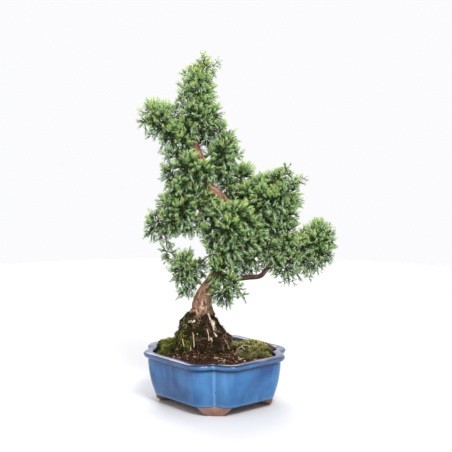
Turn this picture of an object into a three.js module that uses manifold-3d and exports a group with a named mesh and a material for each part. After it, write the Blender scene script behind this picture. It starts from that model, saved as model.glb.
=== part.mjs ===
// Kishu Chinese juniper bonsai in its blue glazed pot.
// Millimetres, +Z up. The display front faces -Y, and the row's origin is under the middle of the whole.
import * as THREE from 'three';
import { mergeVertices } from 'three/addons/utils/BufferGeometryUtils.js';
import Module from 'manifold-3d';

const wasm = await Module();
wasm.setup();
const { Manifold, Mesh: SolidMesh } = wasm;

// Gap between pieces that touch, and between wood and what wraps it
const SEAT_GAP = 0.3;
const WOOD_GAP = 0.4;
// How far a cutter runs past what it cuts, and how near two points are taken as one
const CUT_OVERRUN = 1;
const WELD = 1e-5;

// Pot: a chamfered rectangle whose four corners carry a crease, turned against the tree
const RIM_LENGTH = 139;
const RIM_WIDTH = 127;
const CHAMFER_LEG = 33;
const CREASE_DEPTH = 3.4;
const SHOULDER = 5;
const SHOULDER_BEND = 7.5;
const CORNER_STEPS = 3;
const POT_YAW = THREE.MathUtils.degToRad(-49.1);
const FOOT_HEIGHT = 9.7;
const FLOOR_TOP = 15;
const RIM_TOP = 53.6;
const DRAIN_RADIUS = 7.5;
const DRAIN_SIDES = 14;

// How much a chamfer's leg shrinks for each millimetre that the outline moves in
const CHAMFER_SHRINK = 2 - Math.SQRT2;
// Inset from the rim's outline at which the crease has died out
const CREASE_END = 52;

// Pot wall as [inset from the rim's outline, height]: outside, lip, inside
const POT_OUTSIDE = [
  [13.2, FOOT_HEIGHT],
  [11.2, 11.2],
  [7.6, 20],
  [4.8, 33],
  [4.0, 45.5],
  [0.6, 49],
  [0.0, 51.8],
  [1.2, RIM_TOP],
];
const POT_INSIDE = [
  [9.0, 53.4],
  [10.4, 52],
  [11.0, 40],
  [13.6, 24],
  [17.4, FLOOR_TOP],
];

// Corner feet: brackets of bare clay, given as half widths and heights, and set in from the rim
const FOOT_BRACKET = { base: 8, toe: [9, 2], bend: [11, 7.7], top: [18, 9.1] };
const FOOT_CURVE_STEPS = 2;
const FOOT_DEPTH = 10.5;
const FOOT_INSET = 14.4;
const FOOT_DRAW_IN = 1;
const FOOT_SINK = 1.4;
const FOOT_REACH = 40;

// Plastic mesh square over the drain hole
const MESH_SIDE = 26;
const MESH_THICKNESS = 1;
const MESH_CELLS = 3;
const MESH_BAR = 2;

// Root crown of the trunk: [height, radius, x of its middle], leaning to the left where it bulges
const CROWN_TOP = 100;
const CROWN_PROFILE = [
  [44, 28, -10],
  [57, 26.5, -10],
  [68, 23, -11],
  [77, 18.5, -14],
  [85, 14.5, -15],
  [92, 11.5, -14],
  [CROWN_TOP, 9.4, -13],
];
const CROWN_SIDES = 30;
const CROWN_FLUTES = 9;
const CROWN_FLUTE_DEPTH = 0.04;
// Height over which the flutes turn by one radian
const CROWN_TWIST = 14;

// Soil: level near the wall, mounded up to the root crown
const SOIL_EDGE = 48.4;
const SOIL_WALL_INSET = 10.9;
const SOIL_FLOOR_INSET = 17.4;
const SOIL_MIDDLE = new THREE.Vector2(-12, 0);
const SOIL_MOUND = 15;
const SOIL_SPREAD = 31;
const SOIL_WALL_DROP = 0.8;
const SOIL_RIPPLE = { height: 0.5, alongX: 5.3, alongY: 6.1, across: 8.7 };
const SOIL_RINGS = [14.5, 22, 30, 39];

// Moss cushions: centre, half widths and thickness
const MOSS_CUSHIONS = {
  moss_left: { centre: [-49, 12], reach: [16, 25], thickness: 6, seed: 11 },
  moss_right: { centre: [46, -2], reach: [16, 31], thickness: 5, seed: 23 },
};
// Profile of a cushion above the soil, as [share of its half widths, share of its thickness]
const MOSS_PROFILE = [[1, 0.3], [0.8, 0.85], [0.4, 1]];
const MOSS_SIDES = 13;
const MOSS_BUMP = 0.24;
const MOSS_FROM = 44;
const MOSS_WALL_INSET = 13;
const MOSS_ROOT_GAP = 1;

// Trunk from the root crown to the tip, as [x, y, z, radius]
const TRUNK = [
  [-12, 0, 88, 12],
  [-13, 0, 101, 9.8],
  [-8, -2, 114, 8.4],
  [-3, -2, 122, 7.2],
  [2, 0, 133, 6.4],
  [7, 2, 145, 6.1],
  [11, 3, 158, 5.9],
  [14, 3, 172, 5.7],
  [14, 1, 186, 5.4],
  [12, -1, 198, 5.3],
  [7, -3, 209, 5.1],
  [1, -2, 222, 5.0],
  [-7, 0, 238, 4.7],
  [-14, 0, 248, 4.6],
  [-19, 2, 259, 4.4],
  [-18, 3, 269, 4.0],
  [-14, 3, 278, 3.6],
  [-14, 1, 289, 3.1],
  [-17, 0, 302, 2.6],
  [-17, 0, 314, 2.2],
  [-14, 0, 327, 1.7],
  [-11, 0, 340, 1.2],
];

// Branches, each from inside the trunk to the spray that it carries
const BRANCHES = [
  [[2, 0, 131, 3.4], [17, -4, 127, 2.7], [31, -6, 129, 2.6], [45, -6, 130, 2.4], [54, -4, 135, 2.2],
    [65, 0, 145, 2.0], [76, 1, 153, 1.8], [89, 2, 157, 1.5], [101, 2, 161, 1.2], [108, 2, 168, 0.9]],
  [[13, 0, 182, 3.0], [-3, -1, 178, 2.3], [-19, 0, 177, 2.1], [-32, 0, 174, 1.9], [-46, 0, 174, 1.5],
    [-57, 1, 181, 1.0]],
  [[5, 1, 147, 2.2], [-7, 0, 148, 1.6], [-16, 0, 145, 1.4], [-25, 0, 140, 1.2], [-30, 0, 132, 0.9]],
  [[13, 2, 171, 2.8], [13, -11, 175, 2.0], [14, -21, 180, 1.6], [17, -23, 188, 1.1]],
  [[1, 0, 132, 2.6], [4, -11, 134, 1.8], [8, -19, 131, 1.5], [9, -22, 120, 1.0]],
  [[13, 0, 187, 3.6], [27, 0, 191, 2.6], [42, 1, 198, 2.2], [57, 1, 205, 1.7], [69, 2, 212, 1.1]],
  [[12, -1, 197, 2.8], [17, 11, 205, 2.0], [23, 21, 213, 1.6], [28, 27, 222, 1.1]],
  [[12, 3, 164, 2.8], [16, 17, 169, 2.0], [23, 29, 176, 1.6], [33, 34, 184, 1.1]],
  [[-4, -1, 233, 2.4], [-14, -8, 237, 1.8], [-27, -11, 240, 1.4], [-38, -8, 243, 1.0]],
  [[3, -2, 218, 2.6], [-5, 12, 222, 1.9], [-14, 22, 227, 1.5], [-22, 24, 232, 1.0]],
  [[-13, 0, 247, 2.2], [-3, 0, 253, 1.6], [6, -1, 260, 1.3], [11, 0, 266, 0.9]],
  [[-19, 2, 261, 2.4], [-30, -2, 266, 1.8], [-42, -3, 274, 1.4], [-52, -1, 283, 1.2], [-59, 0, 290, 0.9]],
  [[-18, 3, 266, 2.0], [-16, 13, 266, 1.5], [-14, 21, 264, 1.0]],
  [[8, -2, 206, 2.4], [-6, -8, 206, 1.8], [-20, -9, 202, 1.5], [-31, -8, 201, 1.0]],
];

// Surface roots: ridges of the crown, by heading in degrees, and how far each stands out at the soil
const SURFACE_ROOTS = [
  { heading: 2, stand: 9 },
  { heading: 52, stand: 5 },
  { heading: 97, stand: 6 },
  { heading: 136, stand: 5 },
  { heading: 176, stand: 6 },
  { heading: 226, stand: 6 },
  { heading: 266, stand: 4 },
  { heading: 308, stand: 9 },
];
const ROOT_HALF_WIDTH = 3.4;

// Thin pale roots that hang over the crown, by heading in degrees and height at their top
const FINE_ROOTS = [
  { heading: 212, top: 74 },
  { heading: 243, top: 70 },
  { heading: 282, top: 77 },
  { heading: 75, top: 72 },
];
// Course of a fine root, as [turn in radians, drop from its top, distance out of the crown, radius]
const FINE_ROOT_COURSE = [[0, 0, -1.2, 0.8], [0.05, 7, 1.1, 0.9], [-0.04, 15, 1.3, 0.9], [0.02, 28, 2.5, 0.8]];
const TRUNK_SIDES = 8;
const BRANCH_SIDES = 5;
const FINE_ROOT_SIDES = 3;
// Length of a straight stretch of limb, in diameters
const LIMB_STEP_DIAMETERS = 1.1;
const LIMB_STEP_LEAST = 9;

// Foliage sprays: clumps as [x, y, z, radius], the first one nearest to the branch
const SPRAYS = {
  foliage_apex: [
    [-15, -3, 324, 10], [-11, 1, 334, 9], [-10, 0, 343, 7], [0, -1, 339, 5], [-25, 0, 327, 6],
    [-7, 3, 321, 8], [-19, -9, 313, 10], [-31, -1, 311, 8], [-6, 4, 307, 9], [-26, -2, 301, 8],
    [-16, 12, 317, 10], [-15, 14, 304, 9],
  ],
  foliage_crown: [
    [-19, -6, 291, 12], [-2, -4, 290, 11], [-27, -5, 278, 10], [-6, -11, 280, 8], [-10, 13, 286, 11],
    [-24, 12, 284, 10],
  ],
  foliage_upper_left: [
    [-50, 1, 292, 10], [-63, 0, 294, 10], [-72, 1, 284, 6], [-53, -5, 280, 10], [-43, -6, 270, 12],
    [-32, -9, 263, 9], [-43, 9, 280, 9], [-39, 4, 293, 6], [-64, -2, 270, 5],
  ],
  foliage_upper_right: [
    [5, 1, 274, 10], [14, 0, 265, 11], [6, -7, 253, 12], [21, 2, 250, 8], [-2, -9, 239, 10],
    [11, 13, 257, 10], [1, 8, 235, 8],
  ],
  foliage_mid_left: [
    [-27, -12, 240, 12], [-42, -5, 249, 11], [-44, -3, 234, 10], [-12, -16, 234, 10], [-30, -13, 225, 8],
  ],
  foliage_left: [
    [-35, -6, 212, 12], [-51, 0, 203, 11], [-31, -11, 198, 12], [-59, 1, 184, 10], [-44, -4, 187, 11],
    [-25, -9, 185, 9], [-16, -10, 200, 9], [-49, 7, 178, 9], [-37, 9, 202, 10], [-49, 0, 165, 6],
    [-48, 0, 153, 8],
  ],
  foliage_low_left: [
    [-28, 0, 141, 11], [-35, -3, 133, 9], [-17, 4, 136, 7], [-29, 0, 120, 9], [-23, 7, 128, 8],
  ],
  foliage_centre: [
    [14, -26, 180, 12], [7, -20, 198, 11], [21, -20, 194, 11], [-1, -18, 179, 10], [-1, -16, 162, 9],
    [15, -22, 163, 12], [31, -18, 186, 11], [31, -16, 168, 11],
  ],
  foliage_front_low: [
    [6, -20, 137, 11], [14, -24, 128, 10], [7, -22, 116, 11], [22, -18, 119, 9],
  ],
  foliage_right: [
    [47, 8, 221, 12], [62, 4, 226, 11], [74, 4, 214, 11], [56, -4, 206, 13], [70, 0, 199, 12],
    [41, -8, 199, 11], [52, -6, 186, 9], [57, 21, 214, 12],
  ],
  foliage_right_mid: [
    [76, -3, 156, 11], [72, 0, 173, 11], [71, -6, 140, 9], [53, -8, 159, 8], [37, -11, 149, 7],
  ],
  foliage_right_low: [
    [104, 2, 172, 13], [111, 0, 159, 12], [95, 2, 146, 10], [104, 14, 156, 10], [116, -4, 170, 8],
  ],
  foliage_back_right: [
    [27, 28, 226, 13], [21, 24, 212, 10], [36, 27, 213, 11],
  ],
  foliage_back_low: [
    [26, 34, 180, 12], [40, 34, 190, 12], [13, 31, 165, 11],
  ],
  foliage_back_mid: [
    [-12, 27, 226, 11], [-24, 24, 234, 10], [-26, 24, 206, 12],
  ],
  foliage_back_top: [
    [-10, 20, 267, 10], [-20, 23, 259, 10],
  ],
};

// Scale-leaf cords: three-sided and pointed, set on a slim club-shaped core in each clump
const CORD_RADIUS = 1.7;
const CORD_PROFILE = [[0, 0], [CORD_RADIUS, 0.04], [0, 1]];
const CORD_SUNK = 0.4;
const CORD_SPACING = 1.3;
const CORD_DRIFT = 0.5;
// Least and greatest reach of a cord, and how deep in another clump a cord is left out, in clump radii
const CORD_REACH = [1.1, 1.4];
const CORD_BURIED = 0.72;
const CORE_SHARE = 0.52;
const CORE_SIDES = 5;
const CORDS_PER_AREA = 0.1;
const UPWARD_DRIFT = 0.3;
const GROWTH_SEED = 76;

// Finishes
const GLAZE = { color: 0x4a7ab8, roughness: 0.18, metalness: 0 };
const PLASTIC = { color: 0x2c2c2a, roughness: 0.6, metalness: 0 };
const SOIL = { color: 0x2e231b, roughness: 0.95, metalness: 0 };
const MOSS = { color: 0x5f7a2a, roughness: 0.95, metalness: 0 };
const BARK = { color: 0x7d5a45, roughness: 0.85, metalness: 0 };
const LEAF = { color: 0x4a7f3c, roughness: 0.7, metalness: 0 };

/** Seeded random numbers from 0 to 1. */
function seededRandom(seed) {
  let state = seed;
  return () => {
    state = (state + 0x6d2b79f5) | 0;
    let mixed = Math.imul(state ^ (state >>> 15), 1 | state);
    mixed = (mixed + Math.imul(mixed ^ (mixed >>> 7), 61 | mixed)) ^ mixed;
    return ((mixed ^ (mixed >>> 14)) >>> 0) / 4294967296;
  };
}

/** Turns a closed three.js geometry into a solid that can be joined and cut. */
function toSolid(geometry) {
  geometry.deleteAttribute('normal');
  geometry.deleteAttribute('uv');
  const merged = mergeVertices(geometry, WELD);
  return new Manifold(new SolidMesh({
    numProp: 3,
    vertProperties: new Float32Array(merged.attributes.position.array),
    triVerts: new Uint32Array(merged.index.array),
  }));
}

/** Turns a solid back into a three.js geometry. */
function toGeometry(solid) {
  const { vertProperties, triVerts } = solid.getMesh();
  const geometry = new THREE.BufferGeometry();
  geometry.setAttribute('position', new THREE.BufferAttribute(vertProperties, 3));
  geometry.setIndex(new THREE.BufferAttribute(triVerts, 1));
  geometry.computeVertexNormals();
  return geometry;
}

/** The largest separate body of a solid, without the scraps that a cut leaves. */
function largestBody(solid) {
  return solid.decompose().reduce((best, body) => (body.volume() > best.volume() ? body : best));
}

/** Joins rings of equal point counts into one closed body, capped at both ends. */
function loft(rings) {
  const count = rings[0].length;
  const points = rings.flat();
  const index = [];
  for (let ring = 0; ring < rings.length - 1; ring += 1) {
    for (let i = 0; i < count; i += 1) {
      const a = ring * count + i;
      const b = ring * count + (i + 1) % count;
      index.push(a, b, b + count, a, b + count, a + count);
    }
  }
  const lastRing = (rings.length - 1) * count;
  const start = points.push(middle(rings[0])) - 1;
  const end = points.push(middle(rings[rings.length - 1])) - 1;
  for (let i = 0; i < count; i += 1) {
    const next = (i + 1) % count;
    index.push(start, next, i, end, lastRing + i, lastRing + next);
  }
  const geometry = new THREE.BufferGeometry().setFromPoints(points);
  geometry.setIndex(index);
  return toSolid(geometry);
}

/** Middle of a list of points. */
function middle(points) {
  const sum = points.reduce((total, point) => total.add(point), new THREE.Vector3());
  return sum.divideScalar(points.length);
}

/** Pot outline moved in from the rim, as plan points turned by a yaw. */
function potOutline(inset, yaw = 0) {
  const halfLength = RIM_LENGTH / 2 - inset;
  const halfWidth = RIM_WIDTH / 2 - inset;
  const leg = CHAMFER_LEG - inset * CHAMFER_SHRINK;
  const crease = CREASE_DEPTH * Math.max(0, 1 - inset / CREASE_END) / Math.SQRT2;
  const shrink = leg / CHAMFER_LEG;
  const outline = [];
  for (const [sx, sy] of [[1, 1], [-1, 1], [-1, -1], [1, -1]]) {
    const fold = new THREE.Vector2(halfLength - leg / 2 - crease, halfWidth - leg / 2 - crease);
    const lobes = [
      new THREE.QuadraticBezierCurve(
        new THREE.Vector2(halfLength, halfWidth - leg - SHOULDER * shrink),
        new THREE.Vector2(halfLength, halfWidth - leg + SHOULDER_BEND * shrink),
        fold,
      ),
      new THREE.QuadraticBezierCurve(
        fold,
        new THREE.Vector2(halfLength - leg + SHOULDER_BEND * shrink, halfWidth),
        new THREE.Vector2(halfLength - leg - SHOULDER * shrink, halfWidth),
      ),
    ];
    const corner = [...lobes[0].getPoints(CORNER_STEPS), ...lobes[1].getPoints(CORNER_STEPS).slice(1)];
    if (sx * sy < 0) corner.reverse();
    outline.push(...corner.map((point) => new THREE.Vector2(point.x * sx, point.y * sy)));
  }
  return outline.map((point) => point.rotateAround(new THREE.Vector2(), yaw));
}

/** Pot outline as a ring of points at one height. */
function potRing([inset, height], yaw = 0) {
  return potOutline(inset, yaw).map(({ x, y }) => new THREE.Vector3(x, y, height));
}

/** Outline of a foot's bracket seen from outside, up to a height past the foot's top. */
function bracketShape(limit) {
  const { base, toe, bend, top } = FOOT_BRACKET;
  const shape = new THREE.Shape();
  shape.moveTo(base, -CUT_OVERRUN);
  shape.lineTo(...toe);
  shape.quadraticCurveTo(...bend, ...top);
  shape.lineTo(top[0], limit);
  shape.lineTo(-top[0], limit);
  shape.lineTo(-top[0], top[1]);
  shape.quadraticCurveTo(-bend[0], bend[1], -toe[0], toe[1]);
  shape.lineTo(-base, -CUT_OVERRUN);
  return shape;
}

/** Four bracket feet, cut out of a band that follows the body's corners. */
function buildFeet() {
  const top = FOOT_HEIGHT + FOOT_SINK;
  const band = loft([potRing([FOOT_INSET + FOOT_DRAW_IN, 0]), potRing([FOOT_INSET, top])]);
  const hollow = loft([
    potRing([FOOT_INSET + FOOT_DRAW_IN + FOOT_DEPTH, -CUT_OVERRUN]),
    potRing([FOOT_INSET + FOOT_DEPTH, top + CUT_OVERRUN]),
  ]);
  const bracket = bracketShape(top + CUT_OVERRUN);
  const ring = band.subtract(hollow);
  const cornerX = RIM_LENGTH / 2 - CHAMFER_LEG / 2;
  const cornerY = RIM_WIDTH / 2 - CHAMFER_LEG / 2;
  return [[1, 1], [-1, 1], [-1, -1], [1, -1]].map(([sx, sy]) => {
    const cutter = new THREE.ExtrudeGeometry(bracket, {
      depth: FOOT_REACH * 2, bevelEnabled: false, curveSegments: FOOT_CURVE_STEPS,
    });
    cutter.translate(0, 0, -FOOT_REACH);
    cutter.rotateX(Math.PI / 2);
    cutter.rotateZ(Math.atan2(sy, sx) - Math.PI / 2);
    cutter.translate(cornerX * sx, cornerY * sy, 0);
    return ring.intersect(toSolid(cutter));
  });
}

/** The fired pot: body with its rolled lip, drain hole and feet. */
function buildPot() {
  const body = loft([...POT_OUTSIDE, ...POT_INSIDE].map((step) => potRing(step)));
  const drain = new THREE.CylinderGeometry(DRAIN_RADIUS, DRAIN_RADIUS, FLOOR_TOP * 2, DRAIN_SIDES);
  drain.rotateX(Math.PI / 2);
  return Manifold.union([body.subtract(toSolid(drain)), ...buildFeet()]);
}

/** Square plastic mesh: a plate with rows of square holes. */
function buildDrainMesh() {
  const pitch = (MESH_SIDE - MESH_BAR) / MESH_CELLS;
  const cell = pitch - MESH_BAR;
  const plate = new THREE.BoxGeometry(MESH_SIDE, MESH_SIDE, MESH_THICKNESS);
  const holes = [];
  for (let row = 0; row < MESH_CELLS; row += 1) {
    for (let column = 0; column < MESH_CELLS; column += 1) {
      const hole = new THREE.BoxGeometry(cell, cell, MESH_THICKNESS + 2 * CUT_OVERRUN);
      const offset = (order) => (order - (MESH_CELLS - 1) / 2) * pitch;
      holes.push(toSolid(hole.translate(offset(column), offset(row), 0)));
    }
  }
  const lattice = toSolid(plate).subtract(Manifold.union(holes));
  return lattice.translate([0, 0, FLOOR_TOP + SEAT_GAP + MESH_THICKNESS / 2]);
}

/** Value of a profile's column at one position in its first column, between its rows. */
function along(profile, position, column = 1) {
  const last = profile.length - 1;
  const next = Math.min(last, Math.max(1, profile.findIndex(([at]) => at >= position)));
  const [before, after] = [profile[next - 1], profile[next]];
  const inside = THREE.MathUtils.clamp(position, before[0], after[0]);
  return THREE.MathUtils.mapLinear(inside, before[0], after[0], before[column], after[column]);
}

/** How far the surface roots stand out of the crown at a heading and height. */
function rootRelief(heading, height, radius) {
  const low = THREE.MathUtils.smoothstep(CROWN_TOP - height, 0, CROWN_TOP - SOIL_EDGE);
  return SURFACE_ROOTS.reduce((relief, root) => {
    const turn = heading - THREE.MathUtils.degToRad(root.heading);
    const aside = Math.atan2(Math.sin(turn), Math.cos(turn)) * radius / ROOT_HALF_WIDTH;
    return relief + root.stand * low * Math.exp(-aside * aside);
  }, 0);
}

/** Point on the crown at a heading and height, moved out by a distance. */
function crownPoint(heading, height, out = 0) {
  const plain = along(CROWN_PROFILE, height);
  const flute = plain * CROWN_FLUTE_DEPTH * Math.sin(CROWN_FLUTES * heading + height / CROWN_TWIST);
  const radius = plain + flute + rootRelief(heading, height, plain) + out;
  const x = along(CROWN_PROFILE, height, 2) + radius * Math.cos(heading);
  return new THREE.Vector3(x, radius * Math.sin(heading), height);
}

/** The root crown, a fluted cone grown by a margin all round. */
function buildCrown(margin) {
  const first = CROWN_PROFILE[0][0] - margin;
  const levels = [first, ...CROWN_PROFILE.slice(1).map(([height]) => height)];
  return loft(levels.map((height) => {
    const ring = [];
    for (let i = 0; i < CROWN_SIDES; i += 1) {
      ring.push(crownPoint((i / CROWN_SIDES) * Math.PI * 2, height, margin));
    }
    return ring;
  }));
}

/** Tapered limb through [x, y, z, radius] points, grown by a margin all round. */
function buildLimb(points, sides, margin) {
  const path = limbPath(points);
  const steps = limbSteps(points, path);
  const { tangents, normals, binormals } = path.computeFrenetFrames(steps, false);
  const rings = [];
  for (let i = 0; i <= steps; i += 1) {
    const centre = path.getPointAt(i / steps);
    if (i === 0) centre.addScaledVector(tangents[i], -margin);
    if (i === steps) centre.addScaledVector(tangents[i], margin);
    const radius = limbRadius(points, path, i / steps) + margin;
    const ring = [];
    for (let side = 0; side < sides; side += 1) {
      const angle = (side / sides) * Math.PI * 2;
      const point = centre.clone();
      point.addScaledVector(normals[i], radius * Math.cos(angle));
      point.addScaledVector(binormals[i], radius * Math.sin(angle));
      ring.push(point);
    }
    rings.push(ring);
  }
  return loft(rings);
}

/** Smooth path through a limb's points. */
function limbPath(points) {
  return new THREE.CatmullRomCurve3(points.map(([x, y, z]) => new THREE.Vector3(x, y, z)));
}

/** Number of straight stretches in a limb, fewer where it is thick. */
function limbSteps(points, path) {
  const thickness = points[Math.floor(points.length / 2)][3] * 2;
  return Math.max(3, Math.round(path.getLength() / Math.max(LIMB_STEP_LEAST, thickness * LIMB_STEP_DIAMETERS)));
}

/** Radius of a limb at a share of its length. */
function limbRadius(points, path, share) {
  const position = path.getUtoTmapping(share) * (points.length - 1);
  return along(points.map((point, order) => [order, point[3]]), position);
}

/** Thin pale root that comes out of the crown and goes into the soil. */
function fineRoot({ heading, top }) {
  const angle = THREE.MathUtils.degToRad(heading);
  return FINE_ROOT_COURSE.map(([turn, drop, out, radius]) => {
    const { x, y, z } = crownPoint(angle + turn, top - drop, out);
    return [x, y, z, radius];
  });
}

/** All limbs of the wood as points with their number of sides. */
function woodLimbs() {
  return [
    { points: TRUNK, sides: TRUNK_SIDES },
    ...BRANCHES.map((points) => ({ points, sides: BRANCH_SIDES })),
    ...FINE_ROOTS.map((root) => ({ points: fineRoot(root), sides: FINE_ROOT_SIDES })),
  ];
}

/** Roots, trunk and branches as one body, grown by a margin all round. */
function buildWood(margin = 0) {
  const limbs = woodLimbs().map(({ points, sides }) => buildLimb(points, sides, margin));
  return Manifold.union([buildCrown(margin), ...limbs]);
}

/** Height of the soil's surface over a plan point. */
function soilHeight(x, y) {
  const away = Math.hypot(x - SOIL_MIDDLE.x, y - SOIL_MIDDLE.y) / SOIL_SPREAD;
  const { height, alongX, alongY, across } = SOIL_RIPPLE;
  const ripple = Math.sin(x / alongX) * Math.cos(y / alongY) + Math.sin((x + y) / across);
  return SOIL_EDGE + SOIL_MOUND * Math.exp(-away * away) + height * ripple;
}

/** Soil that fills the pot, with plain holes where the roots stand and a seat for the mesh. */
function buildSoil(wood) {
  const wall = [
    [SOIL_FLOOR_INSET, FLOOR_TOP + SEAT_GAP],
    ...POT_INSIDE.slice(2, -1).reverse(),
    [SOIL_WALL_INSET, SOIL_EDGE - SOIL_WALL_DROP],
  ];
  const rings = wall.map(([inset, height]) => potRing([inset + SEAT_GAP, height], POT_YAW));
  for (const inset of SOIL_RINGS) {
    const outline = potOutline(inset, POT_YAW);
    rings.push(outline.map(({ x, y }) => new THREE.Vector3(x, y, soilHeight(x, y))));
  }
  const seatSide = MESH_SIDE + 2 * WOOD_GAP;
  const seat = new THREE.BoxGeometry(seatSide, seatSide, (MESH_THICKNESS + 2 * SEAT_GAP) * 2);
  seat.rotateZ(POT_YAW);
  seat.translate(0, 0, FLOOR_TOP);
  return largestBody(loft(rings).subtract(toSolid(seat)).subtract(wood));
}

/** Moss cushion that lies on the soil, clear of the wall and the roots. */
function buildMoss({ centre, reach, thickness, seed }, soil, roots) {
  const random = seededRandom(seed);
  const uneven = () => 1 + MOSS_BUMP * (random() - 0.5);
  const bumps = Array.from({ length: MOSS_SIDES }, uneven);
  const ringAt = (share, heightAt) => bumps.map((bump, i) => {
    const angle = (i / MOSS_SIDES) * Math.PI * 2;
    const x = centre[0] + reach[0] * share * bump * Math.cos(angle);
    const y = centre[1] + reach[1] * share * bump * Math.sin(angle);
    return new THREE.Vector3(x, y, heightAt(x, y));
  });
  const domed = MOSS_PROFILE.map(([share, lift]) => (
    ringAt(share, (x, y) => soilHeight(x, y) + thickness * lift * uneven())
  ));
  const blob = loft([ringAt(1, () => MOSS_FROM), ...domed]);
  const bed = loft([
    potRing([MOSS_WALL_INSET, MOSS_FROM - CUT_OVERRUN], POT_YAW),
    potRing([MOSS_WALL_INSET, RIM_TOP * 2], POT_YAW),
  ]);
  const raisedSoil = soil.translate([0, 0, SEAT_GAP]);
  return largestBody(blob.intersect(bed).subtract(raisedSoil).subtract(roots));
}

/** Evenly spread directions in a seeded order. */
function spreadDirections(count, random) {
  const phase = random() * Math.PI * 2;
  const directions = Array.from({ length: count }, (_, i) => {
    const height = 1 - (2 * i + 1) / count;
    const angle = phase + i * Math.PI * (3 - Math.sqrt(5));
    const radius = Math.sqrt(1 - height * height);
    return new THREE.Vector3(radius * Math.cos(angle), radius * Math.sin(angle), height);
  });
  for (let i = count - 1; i > 0; i -= 1) {
    const other = Math.floor(random() * (i + 1));
    [directions[i], directions[other]] = [directions[other], directions[i]];
  }
  return directions;
}

/** Clumps of all sprays, each with a core that stays clear of its neighbours' cores. */
function planClumps(random) {
  const clumps = Object.entries(SPRAYS).flatMap(([spray, list]) => list.map(([x, y, z, radius]) => ({
    spray,
    centre: new THREE.Vector3(x, y, z),
    radius,
  })));
  clumps.forEach((clump, order) => {
    const distance = (other) => other.centre.distanceTo(clump.centre);
    const strangers = clumps.filter((other) => other.spray !== clump.spray);
    const earlier = clumps.slice(0, order).filter((other) => other.spray === clump.spray);
    const nearest = Math.min(...strangers.map(distance));
    clump.core = Math.min(clump.radius * CORE_SHARE, nearest / 2 - SEAT_GAP);
    clump.from = clump.centre.clone();
    clump.from.z -= clump.core;
    if (earlier.length > 0) {
      clump.from = earlier.reduce((best, other) => (distance(other) < distance(best) ? other : best)).centre;
    }
    clump.directions = spreadDirections(Math.round(clump.radius ** 2 * CORDS_PER_AREA), random);
  });
  return clumps;
}

/** Stretch of wood, twig, core or cord that a new cord has to stay clear of. */
function obstacle(spray, start, end, radius) {
  return { spray, line: new THREE.Line3(start, end), radius };
}

/** Wood as short straight obstacles. */
function woodObstacles() {
  return woodLimbs().flatMap(({ points }) => {
    const path = limbPath(points);
    const steps = limbSteps(points, path);
    return Array.from({ length: steps }, (_, i) => obstacle(
      'wood',
      path.getPointAt(i / steps),
      path.getPointAt((i + 1) / steps),
      limbRadius(points, path, i / steps) + WOOD_GAP,
    ));
  });
}

/** Whether a cord's free stretch keeps clear of everything grown so far. */
function keepsClear(spray, line, radius, grown) {
  return grown.every((other) => {
    const near = other.spray === spray ? CORD_SPACING : radius + other.radius + SEAT_GAP;
    return line.distanceSqToLine3(other.line) > near * near;
  });
}

/** Cores as obstacles: a thin half where a core leaves its neighbour, and a thick one round its clump. */
function coreObstacles(clumps) {
  return clumps.flatMap(({ spray, from, centre, core }) => {
    const waist = from.clone().lerp(centre, 0.5);
    return [obstacle(spray, from, waist, core / 2), obstacle(spray, waist, centre, core)];
  });
}

/** One cord of a clump towards a direction, or nothing where there is no room for it. */
function planCord(clump, direction, clumps, grown, random) {
  const drift = new THREE.Vector3(random() - 0.5, random() - 0.5, random() - 0.5).multiplyScalar(CORD_DRIFT);
  const aim = direction.clone().add(drift);
  aim.z += UPWARD_DRIFT;
  aim.normalize();
  const reach = clump.radius * THREE.MathUtils.lerp(...CORD_REACH, random());
  const tip = clump.centre.clone().addScaledVector(aim, reach);
  const root = clump.centre.clone().addScaledVector(direction, clump.core * CORD_SUNK);
  const buried = clumps.some((other) => other !== clump && other.spray === clump.spray
    && other.centre.distanceTo(tip) < other.radius * CORD_BURIED);
  if (buried) return null;
  const free = new THREE.Line3(root.clone().lerp(tip, clump.core / clump.radius), tip);
  if (!keepsClear(clump.spray, free, CORD_RADIUS, grown)) return null;
  return { spray: clump.spray, root, tip, free };
}

/** Grows cords on all clumps in turns, so that neighbouring sprays share the room. */
function growCords(clumps, random) {
  const grown = [...woodObstacles(), ...coreObstacles(clumps)];
  const cords = [];
  const turns = Math.max(...clumps.map(({ directions }) => directions.length));
  for (let turn = 0; turn < turns; turn += 1) {
    for (const clump of clumps.filter(({ directions }) => directions.length > turn)) {
      const cord = planCord(clump, clump.directions[turn], clumps, grown, random);
      if (cord) {
        cords.push(cord);
        grown.push(obstacle(cord.spray, cord.free.start, cord.free.end, CORD_RADIUS));
      }
    }
  }
  return cords;
}

/** Lathed stem from one point towards another, through [radius, share of the way] steps. */
function buildStem(from, to, steps, sides) {
  const length = from.distanceTo(to);
  const profile = steps.map(([radius, share]) => new THREE.Vector2(radius, share * length));
  const geometry = new THREE.LatheGeometry(profile, sides);
  const direction = to.clone().sub(from).normalize();
  geometry.applyQuaternion(new THREE.Quaternion().setFromUnitVectors(new THREE.Vector3(0, 1, 0), direction));
  geometry.translate(from.x, from.y, from.z);
  return toSolid(geometry);
}

/** Slim club-shaped core of a clump, pointed where it leaves its neighbour and at its end. */
function buildCore({ from, centre, core }) {
  const end = centre.clone().add(centre.clone().sub(from).setLength(core));
  const widest = centre.distanceTo(from) / end.distanceTo(from);
  return buildStem(from, end, [[0, 0], [core, widest], [0, 1]], CORE_SIDES);
}

/** One spray: cores and cords in one body, with room for the wood that carries it. */
function buildSpray(name, clumps, cords, wood) {
  const ofSpray = ({ spray }) => spray === name;
  const pieces = [
    ...clumps.filter(ofSpray).map(buildCore),
    ...cords.filter(ofSpray).map(({ root, tip }) => buildStem(root, tip, CORD_PROFILE, 3)),
  ];
  return largestBody(Manifold.union(pieces).subtract(wood));
}

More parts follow.
